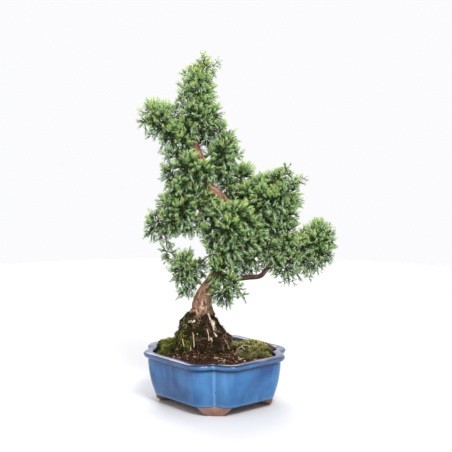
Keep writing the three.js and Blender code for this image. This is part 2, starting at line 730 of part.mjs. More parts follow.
/** Named mesh of a solid in its finish. */
function piece(name, solid, finish) {
  const material = new THREE.MeshStandardMaterial({ ...finish, flatShading: true });
  const mesh = new THREE.Mesh(toGeometry(solid), material);
  mesh.name = name;
  return mesh;
}

/** The whole bonsai as one group, with its origin under the middle of its box. */
function buildBonsai() {
  const woodRoom = buildWood(WOOD_GAP);
  const rootRoom = buildWood(MOSS_ROOT_GAP);
  const soil = buildSoil(woodRoom);

  const pot = new THREE.Group();
  pot.rotation.z = POT_YAW;
  pot.add(piece('pot', buildPot(), GLAZE));
  pot.add(piece('drain_mesh', buildDrainMesh(), PLASTIC));

  const bed = new THREE.Group();
  bed.add(piece('soil', soil, SOIL));
  for (const [name, cushion] of Object.entries(MOSS_CUSHIONS)) {
    bed.add(piece(name, buildMoss(cushion, soil, rootRoom), MOSS));
  }

  const tree = new THREE.Group();
  tree.add(piece('trunk', buildWood(), BARK));
  const random = seededRandom(GROWTH_SEED);
  const clumps = planClumps(random);
  const cords = growCords(clumps, random);
  for (const name of Object.keys(SPRAYS)) {
    tree.add(piece(name, buildSpray(name, clumps, cords, woodRoom), LEAF));
  }

  const bonsai = new THREE.Group();
  bonsai.add(pot, bed, tree);
  const box = new THREE.Box3().setFromObject(bonsai, true);
  const centre = box.getCenter(new THREE.Vector3());
  bonsai.position.set(-centre.x, -centre.y, -box.min.z);
  return bonsai;
}

export default buildBonsai();
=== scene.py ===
"""Looks for the Kishu Chinese juniper bonsai in its blue glazed pot.

Sizes are millimetres from the pot's middle on the ground, with the display front at -Y. Bench turns
them into the frame's metres.
"""

import logging
import math
import random
from dataclasses import dataclass, field
from enum import Enum
from functools import partial

import bpy
import numpy as np
from bpy.types import Material, Node, NodeSocket, NodeTree, Object
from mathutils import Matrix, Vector, kdtree, noise


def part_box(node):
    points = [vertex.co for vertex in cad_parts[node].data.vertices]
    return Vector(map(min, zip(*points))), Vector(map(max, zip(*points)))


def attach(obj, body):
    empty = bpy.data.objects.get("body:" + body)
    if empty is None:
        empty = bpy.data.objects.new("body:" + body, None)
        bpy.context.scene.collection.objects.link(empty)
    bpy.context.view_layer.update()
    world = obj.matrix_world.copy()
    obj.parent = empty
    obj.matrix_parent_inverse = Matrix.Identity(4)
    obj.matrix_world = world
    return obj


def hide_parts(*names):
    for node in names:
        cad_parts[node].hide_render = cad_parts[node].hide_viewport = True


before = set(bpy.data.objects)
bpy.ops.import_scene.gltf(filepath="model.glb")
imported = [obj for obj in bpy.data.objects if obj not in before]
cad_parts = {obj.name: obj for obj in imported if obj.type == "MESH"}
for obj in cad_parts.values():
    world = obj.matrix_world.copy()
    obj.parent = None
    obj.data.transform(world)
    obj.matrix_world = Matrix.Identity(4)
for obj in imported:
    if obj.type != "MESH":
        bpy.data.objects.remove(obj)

LOG = logging.getLogger("bonsai")
MM = 0.001
TURN = 2 * math.pi
GOLDEN_TURN = math.pi * (3 - math.sqrt(5))


def linear(code: str) -> tuple[float, float, float, float]:
    """Turns an sRGB hex colour into a linear one.

    Args:
        code: Colour as "#rrggbb".

    Returns:
        Linear red, green and blue, and an alpha of 1.
    """
    parts = [int(code[at : at + 2], 16) / 255 for at in (1, 3, 5)]
    red, green, blue = [p / 12.92 if p <= 0.04045 else ((p + 0.055) / 1.055) ** 2.4 for p in parts]
    return red, green, blue, 1.0


def share(value: float) -> float:
    """Keeps a number between 0 and 1."""
    return max(0.0, min(1.0, value))


def bell(value: float, middle: float, width: float) -> float:
    """Height of a bell curve of 1 at its middle that falls off over a width."""
    return math.exp(-(((value - middle) / width) ** 2))


def lumps(spots: np.ndarray, size: float) -> np.ndarray:
    """Smooth noise from about -1 to 1 at each spot, in lumps of a size."""
    return np.array([noise.noise(Vector(spot) / size) for spot in spots])


def add_node(tree: NodeTree, kind: str, values: dict | None = None) -> Node:
    """Adds a node with its settings and links.

    Args:
        tree: Tree that gets the node.
        kind: Blender's name of the node type.
        values: What each property or input socket gets, by its name or number: a plain value, a hex
            colour, a socket, a node whose first output in use is meant, or a list of such nodes. A
            colour ramp's "stops" are pairs of position and hex colour.

    Returns:
        The new node.
    """
    node = tree.nodes.new(kind)
    for key, value in (values or {}).items():
        feeds = value if isinstance(value, list) else [value]
        if key == "stops":
            while len(node.color_ramp.elements) < len(value):
                node.color_ramp.elements.new(1.0)
            for element, (position, code) in zip(node.color_ramp.elements, value):
                element.position = position
                element.color = linear(code)
        elif isinstance(key, str) and hasattr(node, key):
            setattr(node, key, value)
        elif isinstance(feeds[0], (Node, NodeSocket)):
            for feed in feeds:
                if isinstance(feed, Node):
                    feed = next(socket for socket in feed.outputs if socket.enabled)
                tree.links.new(feed, node.inputs[key])
        else:
            is_hex = isinstance(value, str) and value.startswith("#")
            node.inputs[key].default_value = linear(value) if is_hex else value
    return node


def smooth_path(points: np.ndarray, step: float) -> np.ndarray:
    """Runs a smooth path through points.

    Args:
        points: Rows of x, y, z and any further values.
        step: Distance between the path's rows, in the points' unit.

    Returns:
        Rows of the same columns along the path.
    """
    ends = np.vstack([2 * points[0] - points[1], points, 2 * points[-1] - points[-2]])
    rows = []
    for i in range(1, len(ends) - 2):
        a, b, c, d = ends[i - 1 : i + 3]
        count = max(1, round(float(np.linalg.norm((c - b)[:3])) / step))
        for t in np.arange(count) / count:
            rows.append(0.5 * (2 * b + (c - a) * t + (2 * a - 5 * b + 4 * c - d) * t**2
                               + (3 * b - a - 3 * c + d) * t**3))
    rows.append(points[-1])
    return np.array(rows)


def hoops(levels: int, count: int, closed: bool = False) -> list:
    """Faces between rings of points that follow one another.

    Args:
        levels: Number of rings.
        count: Points of each ring, going round anticlockwise seen from the last one's end.
        closed: Whether the last ring joins the first.

    Returns:
        Four point numbers for each face.
    """
    faces = []
    for level in range(levels if closed else levels - 1):
        here = level * count
        after = (level + 1) % levels * count
        for i in range(count):
            j = (i + 1) % count
            faces.append((here + i, here + j, after + j, after + i))
    return faces


def tube(rings: list) -> tuple[list, list]:
    """Joins rings of points into a closed tube.

    Args:
        rings: Lists of as many points each, going round anticlockwise seen from the end.

    Returns:
        Points and faces.
    """
    count = len(rings[0])
    points = [p for ring in rings for p in ring]
    ends = [tuple(range(count))[::-1], tuple(range(len(points) - count, len(points)))]
    return points, hoops(len(rings), count) + ends


def add_line(points: list, edges: list, course: list) -> None:
    """Adds a course to lists of points and edges.

    Args:
        points: Points so far.
        edges: Pairs of point numbers so far.
        course: Points of the course.
    """
    start = len(points)
    points += [tuple(spot) for spot in course]
    edges += [(n, n + 1) for n in range(start, len(points) - 1)]


def put(name: str, data: bpy.types.ID) -> Object:
    """Puts a mesh, a light or a camera into the scene.

    Args:
        name: Object's name.
        data: What it shows.

    Returns:
        The new object.
    """
    item = bpy.data.objects.new(name, data)
    bpy.context.scene.collection.objects.link(item)
    return item


def read(source: bpy.types.bpy_prop_collection, name: str, width: int = 1) -> np.ndarray:
    """Reads one property of each point of a mesh.

    Args:
        source: The mesh's points or an attribute's data.
        name: Property's name.
        width: Numbers that it has for each point.

    Returns:
        One number or one row for each point.
    """
    flat = np.zeros(len(source) * width, np.float32)
    source.foreach_get(name, flat)
    return flat.reshape(-1, width) if width > 1 else flat


def mark(piece: Object, name: str, values: np.ndarray | list) -> None:
    """Stores a number or a vector at each point of a piece.

    Args:
        piece: Mesh object.
        name: Attribute's name.
        values: One number or one row of three for each point.
    """
    flat = np.asarray(values, np.float32)
    kind, key = ("FLOAT", "value") if flat.ndim == 1 else ("FLOAT_VECTOR", "vector")
    attribute = piece.data.attributes.new(name, kind, "POINT")
    attribute.data.foreach_set(key, flat.ravel())


def seat(piece: Object, node: str | None = None) -> Object:
    """Fixes a piece to the root.

    Args:
        piece: Finished piece.
        node: Node of the frame that it takes the place of.

    Returns:
        The piece.
    """
    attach(piece, "root")
    if node:
        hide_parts(node)
    return piece


@dataclass(frozen=True)
class Bench:
    """Where pieces are put together.

    Attributes:
        middle: Middle of the pot on the ground, in the frame's metres.
    """

    middle: Vector

    def place(self, points: np.ndarray | list | tuple) -> np.ndarray:
        """Turns points in millimetres from the pot's middle into the frame's metres."""
        return np.asarray(points, float) * MM + np.array(self.middle)

    def measure(self, mesh: bpy.types.Mesh) -> np.ndarray:
        """Points of a placed mesh in millimetres from the pot's middle."""
        return (read(mesh.vertices, "co", 3) - np.array(self.middle)) / MM

    def piece(self, name: str, points: np.ndarray | list, faces: list, finishes: list,
              edges: list | None = None) -> Object:
        """Makes a smooth mesh piece.

        Args:
            name: Piece's name.
            points: Rows of x, y and z in millimetres.
            faces: Lists of point numbers.
            finishes: Materials of the piece.
            edges: Pairs of point numbers, for a piece with no faces.

        Returns:
            The new object, in the scene.
        """
        mesh = bpy.data.meshes.new(name)
        mesh.from_pydata(self.place(points).tolist(), edges or [], [list(face) for face in faces])
        mesh.shade_smooth()
        for finish in finishes:
            mesh.materials.append(finish)
        return put(name, mesh)


def settle(piece: Object, name: str) -> Object:
    """Turns a piece with live modifiers into a plain mesh piece.

    Args:
        piece: Object with modifiers, which is removed.
        name: Name of the result.

    Returns:
        The plain mesh object.
    """
    depsgraph = bpy.context.evaluated_depsgraph_get()
    evaluated = piece.evaluated_get(depsgraph)
    mesh = bpy.data.meshes.new_from_object(evaluated, preserve_all_data_layers=True, depsgraph=depsgraph)
    bpy.data.objects.remove(piece)
    mesh.name = name
    return put(name, mesh)


def grow(piece: Object, name: str, tree: NodeTree, values: dict) -> Object:
    """Runs a geometry tree on a piece and keeps what it makes as a plain mesh.

    Args:
        piece: Object that the tree starts from, which is removed.
        name: Name of the result.
        tree: Geometry tree.
        values: The tree's inputs by name.

    Returns:
        The plain mesh object.
    """
    modifier = piece.modifiers.new(tree.name, "NODES")
    modifier.node_group = tree
    for item in tree.interface.items_tree:
        if item.name in values:
            modifier[item.identifier] = values[item.name]
    return settle(piece, name)


def start_tree(name: str, inputs: dict) -> tuple[NodeTree, Node]:
    """Starts a geometry tree with named inputs.

    Args:
        name: Tree's name.
        inputs: For each kind of value, the names of the inputs that take one, after the geometry.

    Returns:
        The tree and its input node.
    """
    tree = bpy.data.node_groups.new(name, "GeometryNodeTree")
    tree.interface.new_socket("Geometry", in_out="INPUT", socket_type="NodeSocketGeometry")
    for kind, labels in inputs.items():
        for label in labels:
            tree.interface.new_socket(label, in_out="INPUT", socket_type="NodeSocket" + kind)
    tree.interface.new_socket("Geometry", in_out="OUTPUT", socket_type="NodeSocketGeometry")
    return tree, tree.nodes.new("NodeGroupInput")


def end_tree(tree: NodeTree, geometry: Node, finish: NodeSocket) -> None:
    """Ends a geometry tree with real meshes and their finish.

    Args:
        tree: Geometry tree.
        geometry: Node that gives what the tree has made.
        finish: Socket with the finish.
    """
    real = add_node(tree, "GeometryNodeRealizeInstances", {"Geometry": geometry})
    done = add_node(tree, "GeometryNodeSetMaterial", {"Geometry": real, "Material": finish})
    add_node(tree, "NodeGroupOutput", {"Geometry": done})


class Place(Enum):
    """How the material of a piece finds its pattern."""

    OBJECT = "Object"
    GRAIN = "grain"


@dataclass(frozen=True)
class Speckle:
    """A noise pattern, left plain or sharpened to patches.

    Attributes:
        size_mm: Size of one blotch on the real surface. Clay grit, dust, leaf pores and bark fibre
            are finer than a render shows, so they are drawn as coarse as they need to show.
        octaves: Octaves of finer noise.
        low: Noise at which a patch starts.
        high: Noise at which it is full, or 0 for plain noise.
        top: Grey of a full patch.
        place: Where the pattern's coordinates come from.
        drawn: How many times longer a blotch is along Z.
    """

    size_mm: float
    octaves: float = 3.0
    low: float = 0.0
    high: float = 0.0
    top: str = "#ffffff"
    place: Place = Place.OBJECT
    drawn: float = 1.0

    def build(self, tree: NodeTree) -> Node:
        """Adds the pattern to a material.

        Args:
            tree: Material's tree.

        Returns:
            The node that gives the pattern.
        """
        add = partial(add_node, tree)
        scale = 1 / self.size_mm
        if self.place is Place.OBJECT:
            spot = add("ShaderNodeTexCoord").outputs[self.place.value]
            scale /= MM
        else:
            spot = add("ShaderNodeAttribute", {"attribute_name": self.place.value}).outputs["Vector"]
        if self.drawn != 1.0:
            spot = add("ShaderNodeVectorMath", {"operation": "MULTIPLY", 0: spot, 1: (1, 1, 1 / self.drawn)})
        noisy = add("ShaderNodeTexNoise", {"Scale": scale, "Detail": self.octaves, "Vector": spot})
        if not self.high:
            return noisy
        stops = [(self.low, "#000000"), (self.high, self.top)]
        return add("ShaderNodeValToRGB", {"stops": stops, "Fac": noisy})


@dataclass(frozen=True)
class Finish:
    """A finish, as what the real surface is made of.

    Attributes:
        name: Material's name.
        roughness: Roughness of the surface.
        colours: First colour and the coats over it, each a mask and a colour. A mask is a speckle or
            the name of a number stored on the piece. A colour is a hex value or such colours again.
        relief: Relief too fine for the mesh, as its speckle, its depth in millimetres and the share
            of it that shows, or empty for none.
        specular: Strength of its mirror reflection, 0.5 for a clean smooth surface.
        coat: Weight of a clear coat over it.
        sheen: Weight of the soft light on its fuzz.
        soak: Share of light that soaks in and comes out near by.
        ior: Index of refraction.
    """

    name: str
    roughness: float
    colours: tuple = ()
    relief: tuple = ()
    specular: float = 0.5
    coat: float = 0.0
    sheen: float = 0.0
    soak: float = 0.0
    ior: float = 1.5

    def build(self) -> Material:
        """Builds the finish.

        Returns:
            The material.
        """
        material = bpy.data.materials.new(self.name)
        material.use_nodes = True
        tree = material.node_tree
        tree.nodes.clear()
        values = {
            "Base Color": self.paint(tree), "Roughness": self.roughness, "IOR": self.ior,
            "Specular IOR Level": self.specular, "Coat Weight": self.coat, "Sheen Weight": self.sheen,
            "Subsurface Weight": self.soak, "Subsurface Radius": (0.6 * MM, 1.0 * MM, 0.3 * MM)}
        if self.relief:
            speckle, depth, shown = self.relief
            values["Normal"] = add_node(tree, "ShaderNodeBump", {
                "Distance": depth * MM, "Strength": shown, "Height": speckle.build(tree)})
        shader = add_node(tree, "ShaderNodeBsdfPrincipled", values)
        add_node(tree, "ShaderNodeOutputMaterial", {"Surface": shader})
        return material

    def paint(self, tree: NodeTree) -> NodeSocket | str:
        """Adds the nodes of the colour, and gives its socket or hex value."""
        return self.layers(tree, *self.colours)

    def layers(self, tree: NodeTree, colour: object, *coats: tuple) -> NodeSocket | str:
        """Lays coats over a first colour.

        Args:
            tree: Material's tree.
            colour: Hex value, node or socket.
            coats: Masks and colours as in the field, or as nodes or sockets.

        Returns:
            The colour's socket or hex value.
        """
        for mask, coat in coats:
            if isinstance(mask, Speckle):
                mask = mask.build(tree)
            elif isinstance(mask, str):
                mask = add_node(tree, "ShaderNodeAttribute", {"attribute_name": mask}).outputs["Fac"]
            if isinstance(coat, tuple):
                coat = self.layers(tree, *coat)
            colour = add_node(tree, "ShaderNodeMix", {
                "data_type": "RGBA", "Factor": mask, "A": colour, "B": coat}).outputs["Result"]
        return colour


@dataclass(frozen=True)
class BlueGlaze(Finish):
    """Cobalt glaze fired on stoneware: glassy, darker where it pooled, thin and grey brown on the lip.

    Over the pinholes lie clouding, runs, beads, pooled glaze, the broken lip and the bare edges. The bead
    coat also carries a painted highlight on the corner chamfers, and the pool coat painted shade under
    the lip, beside the creases and on the inner wall, and a painted dark reflection on the lip's front.
    """

    name: str = "cobalt_glaze_fired"
    roughness: float = 0.12
    specular: float = 0.36
    colours: tuple = ("#131b30", (Speckle(2.6, 1.0, 0.2, 0.22), (  # Pinholes, and all between them
        "#1a4577", (Speckle(26, 2.0, 0.36, 0.64), "#306699"),  # Body with its clouding
        (Speckle(8, 1.0, 0.55, 0.95, "#aaaaaa", drawn=3.5), "#5a92c4"),  # Runs
        # Bead coat: glaze beads and a painted highlight on the corner chamfers. Pool coat: pooled glaze,
        # painted shade and a painted dark reflection on the lip's front.
        ("bead", "#5a92c4"), ("pool", "#11223f"),
        ("thin", ("#7a7283", (Speckle(17, 4.0, 0.4, 0.58, "#dddddd"), "#352c2f"))),  # Broken lip
        ("bare_edge", "#1d1718"))))
    relief: tuple = (Speckle(9, 1.0), 0.35, 0.35)


@dataclass(frozen=True)
class BareClay(Finish):
    """Stoneware left bare and fired pinkish brown: grainy, slightly shiny and scorched in places."""

    name: str = "bare_stoneware_fired"
    roughness: float = 0.5
    coat: float = 0.25
    colours: tuple = ("#99705f", (Speckle(7), "#573a2f"))
    relief: tuple = (Speckle(0.9), 0.2, 0.6)


@dataclass(frozen=True)
class DrainPlastic(Finish):
    """Polyethylene mesh, moulded: dull and dark with fine dust."""

    name: str = "polyethylene_mesh_moulded"
    roughness: float = 0.55
    colours: tuple = ("#262624", (Speckle(3), "#3b3833"))
    relief: tuple = (Speckle(0.6), 0.05, 0.5)


@dataclass(frozen=True)
class DampSoil(Finish):
    """Damp potting soil of peat and crushed rock: dark crumbs with brown fibre between them."""

    name: str = "potting_soil_damp"
    roughness: float = 0.92
    specular: float = 0.08
    colours: tuple = ("#17100c", (Speckle(2.2, 4.0), "#362318"), (Speckle(6, 3.0, 0.55, 0.7), "#513826"))
    relief: tuple = (Speckle(1.1, 4.0), 0.8, 0.9)


@dataclass(frozen=True)
class Grit(Finish):
    """Crushed pumice, lava and bark in the soil: dull crumbs, most of them dark and a few pale."""

    name: str = "crushed_rock_and_bark"
    roughness: float = 0.9
    specular: float = 0.08
    relief: tuple = (Speckle(0.7), 0.25, 0.7)

    def paint(self, tree: NodeTree) -> NodeSocket:
        """Colours each crumb by its own stored tone.

        Args:
            tree: Material's tree.

        Returns:
            The colour's socket.
        """
        tone = add_node(tree, "ShaderNodeAttribute", {"attribute_name": "tone"}).outputs["Fac"]
        tones = add_node(tree, "ShaderNodeValToRGB", {"Fac": tone, "stops": [
            (0.0, "#120b07"), (0.4, "#2b1c12"), (0.7, "#503320"), (0.86, "#7f5434"), (0.94, "#a98f70"),
            (1.0, "#ddd2bd")]})
        return self.layers(tree, tones, (Speckle(1.5), "#2c1f17"))


@dataclass(frozen=True)
class RootFibre(Finish):
    """Dried root and coir fibre: thin and dull, from brown to pale, with darker stretches."""

    name: str = "root_fibre_dried"
    roughness: float = 0.85
    colours: tuple = ("#3f2a1b", (Speckle(4), "#7a5238"), ("pale", ("#a58f6b", (Speckle(5), "#d9cba8"))))


@dataclass(frozen=True)
class CushionMoss(Finish):
    """Living cushion moss: velvety, straw coloured where dry, with painted light on its domes and painted
    shade between them.
    """

    name: str = "cushion_moss_living"
    roughness: float = 0.85
    specular: float = 0.05
    sheen: float = 0.04
    relief: tuple = (Speckle(0.9, 4.0), 0.8, 0.8)
    stem: str = "#1d2609"
    shade: str = "#3f4a12"
    leaf: str = "#bccb3c"
    tip: str = "#e0ec74"
    dry: str = "#a08433"
    dry_tip: str = "#efe2a8"
    # Painted shade between the domes, and bare soil where a cushion is bald
    gap: str = "#140e07"

    def paint(self, tree: NodeTree) -> NodeSocket:
        """Runs each blade from its stem colour to a bright or straw coloured tip, with painted light on the
        domes and painted shade between them.

        Args:
            tree: Material's tree.

        Returns:
            The colour's socket.
        """
        add = partial(add_node, tree)
        tip, tone, dry = [add("ShaderNodeAttribute", {"attribute_name": name}).outputs["Fac"]
                          for name in ("tip", "tone", "dry")]
        bright = add("ShaderNodeMath", {"operation": "POWER", 0: tip, 1: 1.1})
        dull, pale = [add("ShaderNodeMath", {
            "operation": "MULTIPLY_ADD", "use_clamp": True, 0: tone, 1: slope, 2: start})
            for slope, start in ((2.2, -1.2), (-5.0, 1.4))]
        fleck = add("ShaderNodeMath", {"operation": "MULTIPLY", 0: pale, 1: dry})
        # The lush mask carries painted light on dome tops, the gap colour painted shade between domes
        worn = self.layers(tree, self.shade, ("lush", self.leaf), (dry, self.dry))
        tips = self.layers(tree, worn, ("lush", self.tip), (dry, self.dry_tip))
        return self.layers(tree, self.stem, (tip, worn), (bright, tips), (dull, self.stem),
                           (fleck, self.dry_tip), ("hollow", self.gap))


@dataclass(frozen=True)
class FibrousBark(Finish):
    """Old juniper bark: thin reddish strips along the wood, grey where weathered, pale where dead.

    Over the strips lie weathering, young thin bark, fissures, earth, moss film and dead wood.
    """

    name: str = "juniper_bark_peeling"
    roughness: float = 0.82
    specular: float = 0.1
    colours: tuple = (
        "#6a4231", (Speckle(2.6, 4.0, place=Place.GRAIN), "#ba947c"),  # Red bark in lighter strips
        (Speckle(7, 3.0, 0.5, 0.68, place=Place.GRAIN), "#92795f"),  # Grey weathering
        ("slim", "#3d2f25"), ("fissure", "#2b1b12"),
        ("earth", ("#140d08", (Speckle(2.4), "#2a1c13"))), ("film", "#1c1c08"), ("bare", "#d9ccb0"))
    relief: tuple = (Speckle(1.2, 4.0, place=Place.GRAIN), 0.6, 0.9)


@dataclass(frozen=True)
class YoungTwig(Finish):
    """Young juniper twig: thin brown skin that still shows green towards the leaves."""

    name: str = "young_twig_skin"
    roughness: float = 0.75
    colours: tuple = ("#2e2314", (Speckle(3), "#4c3826"), ("leafy", "#2f4d16"))


@dataclass(frozen=True)
class ScaleLeaf(Finish):
    """Juniper scale leaves pressed to their cord: waxy blue green, yellow green on new growth.

    Over the blue lie the greener cords, the pale hanging ones, new growth and the shade deep inside.
    """

    name: str = "juniper_scale_leaf"
    roughness: float = 0.55
    specular: float = 0.18
    soak: float = 0.12
    colours: tuple = ("#8ab388", ("tint", "#93ba66"), ("hanging", "#a9c69a"), ("young", "#d6de6e"),
                      ("inner", "#132d0b"))
    relief: tuple = (Speckle(0.8, 1.0), 0.15, 0.5)


@dataclass(frozen=True)
class StudioPaper(Finish):
    """Pale paper floor of the studio, even and dull."""

    name: str = "studio_paper"
    roughness: float = 0.7
    colours: tuple = ("#c6c6c8",)


@dataclass
class Part:
    """A part of the scene.

    Attributes:
        bench: Where its pieces are put together.
        finishes: Materials by name.
    """

    bench: Bench
    finishes: dict[str, Material]


@dataclass
class Pot(Part):
    """The fired pot: a chamfered rectangle with a crease down each corner, a rolled lip and feet.

    Attributes:
        length: Length over the rim.
        width: Width over the rim.
        leg: Leg of each corner's chamfer.
        crease: Depth of the corner crease.
        crease_end: Inset at which the crease has died out.
        shoulder: How far before a corner its curve starts.
        shoulder_bend: How far past the corner the curve is pulled.
        yaw: Turn of the pot against the tree, in degrees.
        drain_radius: Radius of the drain hole.
        foot_height: Height of the underside.
        floor_top: Height of the floor inside.
        foot_depth: Thickness of a foot from its face inwards.
        foot_inset: Inset of a foot's face at its top.
        foot_tuck: How much further in it stands on the ground.
        foot_reach: How far along the wall a foot's face is measured.
        lobe_steps: Points along half a corner.
        side_steps: Steps along a straight side.
        glazed_rings: First and last ring of the wall under glaze.
        lip_heights: Heights at which the lip's shoulder, its roll and its top start.
        outside: Wall as inset from the rim and height, from the underside round to the floor.
        foot_bracket: Half width and height up the edge of a foot.
    """

    length: float = 139
    width: float = 127
    leg: float = 33
    crease: float = 3.4
    crease_end: float = 52
    shoulder: float = 5
    shoulder_bend: float = 7.5
    yaw: float = -49.1
    drain_radius: float = 7.5
    foot_height: float = 9.7
    floor_top: float = 15
    foot_depth: float = 10.5
    foot_inset: float = 11.7
    foot_tuck: float = 2.6
    foot_reach: float = 28
    lobe_steps: int = 14
    side_steps: int = 12
    glazed_rings: tuple = (3, 37)
    lip_heights: tuple = (51.2, 52, 52.8)
    outside: tuple = (
        (14.4, 8.9), (12.4, 8.8), (11.5, 9.1), (10.9, 9.9), (10.5, 11.2), (9.9, 13.4), (8.6, 17.5),
        (7.3, 22), (6.2, 27), (5.4, 32), (4.8, 37), (4.5, 41), (4.3, 44.5), (4.3, 46.9), (3.6, 47.6),
        (2.0, 48.0), (1.1, 48.6), (0.6, 49.3), (0.25, 50.0), (0.05, 50.8), (0.2, 51.6), (0.7, 52.3),
        (1.5, 52.9), (2.6, 53.3), (4.4, 53.6), (6.8, 53.4), (8.2, 53.1), (9.2, 52.5), (9.9, 51.4),
        (10.3, 50), (10.6, 47), (10.9, 43), (11.1, 40), (11.9, 33), (13.2, 26), (14.4, 20.5),
        (16.0, 16.6), (17.4, 15.2), (19, 15),
    )
    foot_bracket: tuple = (
        (4.0, 0.0), (6.0, 0.35), (8.0, 1.1), (10.0, 2.2), (11.8, 3.5), (13.4, 4.9), (14.8, 6.3), (16.0, 7.6),
        (16.9, 8.6), (17.6, 9.2), (17.6, 10.6),
    )

    def outline(self, inset: float) -> np.ndarray:
        """Plan outline moved in from the rim, unturned.

        Args:
            inset: Distance in from the rim's outline.

        Returns:
            Rows of x and y.
        """
        half_length = self.length / 2 - inset
        half_width = self.width / 2 - inset
        leg = self.leg - inset * (2 - math.sqrt(2))
        crease = self.crease * max(0.0, 1 - inset / self.crease_end) / math.sqrt(2)
        shrink = leg / self.leg
        fold = np.array([half_length - leg / 2 - crease, half_width - leg / 2 - crease])
        lobes = [
            (np.array([half_length, half_width - leg - self.shoulder * shrink]),
             np.array([half_length, half_width - leg + self.shoulder_bend * shrink]), fold),
            (fold, np.array([half_length - leg + self.shoulder_bend * shrink, half_width]),
             np.array([half_length - leg - self.shoulder * shrink, half_width])),
        ]
        t = np.linspace(0, 1, self.lobe_steps + 1)[:, None]
        first, second = [a * (1 - t) ** 2 + b * 2 * t * (1 - t) + c * t**2 for a, b, c in lobes]
        corner = np.vstack([first, second[1:]])
        corners = []
        for sx, sy in ((1, 1), (-1, 1), (-1, -1), (1, -1)):
            turned = corner * (sx, sy)
            corners.append(turned[::-1] if sx * sy < 0 else turned)
        points = []
        for order, here in enumerate(corners):
            there = corners[(order + 1) % 4]
            gap = np.linspace(0, 1, self.side_steps + 1)[1:-1, None]
            points += [here, here[-1] * (1 - gap) + there[0] * gap]
        return np.vstack(points)

    def turn(self, plan: np.ndarray) -> np.ndarray:
        """Turns plan points by the pot's yaw.

        Args:
            plan: Rows of x and y.

        Returns:
            The turned rows.
        """
        angle = math.radians(self.yaw)
        spin = np.array([[math.cos(angle), math.sin(angle)], [-math.sin(angle), math.cos(angle)]])
        return plan @ spin

    def ring(self, inset: float, height: float) -> np.ndarray:
        """Outline at one height, turned, as rows of x, y and z."""
        plan = self.turn(self.outline(inset))
        return np.column_stack([plan, np.full(len(plan), height)])

    def drain_ring(self, height: float) -> np.ndarray:
        """Edge of the drain hole at one height.

        Args:
            height: Height above the ground.

        Returns:
            Rows of x, y and z, in step with the outline.
        """
        plan = self.turn(self.outline(self.outside[0][0]))
        circle = plan / np.linalg.norm(plan, axis=1)[:, None] * self.drain_radius
        return np.column_stack([circle, np.full(len(circle), height)])

    def body(self) -> Object:
        """Makes the walls, lip and floor as one closed piece, glazed outside and over the lip.

        Returns:
            The piece.
        """
        rings = [self.drain_ring(self.foot_height), *[self.ring(*spot) for spot in self.outside],
                 self.drain_ring(self.floor_top)]
        count = len(rings[0])
        faces = hoops(len(rings), count, closed=True)
        sides = [self.finishes["glaze"], self.finishes["clay"]]
        piece = self.bench.piece("pot_body", np.vstack(rings), faces, sides)
        first, last = self.glazed_rings
        bare_clay = [int(not first <= n // count <= last) for n in range(len(faces))]
        piece.data.polygons.foreach_set("material_index", bare_clay)
        self.mark_glaze(piece, count)
        return piece

    def mark_glaze(self, piece: Object, count: int) -> None:
        """Stores where the glaze pooled, beaded up and ran thin, where it ends, and painted light and shade.

        It pools at the foot line and, with painted shade, beside the creases, and thins where the lip
        turns over. Painted shadow lies under the lip, painted shade on the inner wall, a painted dark
        reflection on the lip's front and a painted highlight on the corner chamfers.

        Args:
            piece: The pot's body.
            count: Points of each ring.
        """
        low_lip, roll_lip, top_lip = self.lip_heights
        fold, beside, lobes = [self.fold_closeness(width) for width in (0.05, 0.16, 0.7)]
        front = self.dark_reflection_at_front()
        marks = {"pool": [], "bead": [], "thin": [], "bare_edge": []}
        for inset, height in [(0.0, self.foot_height), *self.outside, (0.0, self.floor_top)]:
            # Painted shade: the inner wall above the soil takes the full dark pool colour
            inside = inset > 9.5 and height > 20
            outermost = inset < 1
            top = 0.85 if height > top_lip and inset < 9 else 0.0
            roll = 0.5 if height > roll_lip and outermost else 0.0
            shoulder = 0.4 if height > low_lip and outermost else 0.0
            # Painted shadow under the lip's roll
            band = bell(height, 47.3, 1.5) if 0.8 < inset < 6 else 0.0
            # Darker beside the creases: pooled glaze with painted shade
            creased = 0.35 * (beside - fold)
            # At the front the lip's top and roll take a painted dark reflection
            pooled = 0.8 * bell(height, 9.2, 0.5) + band + (1.1 * top + roll) * front + creased
            marks["pool"].append(np.ones(count) if inside else np.clip(pooled, 0, 1))
            # Glaze beads at the foot line and in the creases; the broad corner term is a painted highlight
            # on the chamfers
            beaded = 0.8 * bell(height, 10.3, 0.7) + 0.45 * fold + 0.38 * lobes
            marks["bead"].append(np.zeros(count) if inside else np.clip(beaded, 0, 1))
            # The broken lip is kept faint at the front, where the painted dark reflection shows
            marks["thin"].append(max(top, shoulder) * (1 - 0.8 * front))
            lip_line = 0.8 * bell(height, 52.3, 0.35) if outermost else 0.0
            inner_line = bell(inset, 9.5, 0.5) if height > 50 else 0.0
            ends = share(lip_line + inner_line + bell(height, 9.1, 0.3))
            marks["bare_edge"].append(np.full(count, ends))
        for name, values in marks.items():
            mark(piece, name, np.concatenate(values))

    def fold_closeness(self, width: float) -> np.ndarray:
        """How near each point of an outline is to a corner crease, from 0 to 1.

        Args:
            width: Share of a lobe over which the nearness falls off.

        Returns:
            One number for each point.
        """
        near = np.abs(np.arange(2 * self.lobe_steps + 1) - self.lobe_steps) / self.lobe_steps
        corner = np.exp(-((near / width) ** 2))
        return np.tile(np.concatenate([corner, np.zeros(self.side_steps - 1)]), 4)

    def dark_reflection_at_front(self) -> np.ndarray:
        """Where the lip gets its painted dark reflection: 0 to 1 over the last 16 mm to the front."""
        plan = self.turn(self.outline(4.0))
        return np.clip((-plan[:, 1] - 48) / 16, 0, 1)

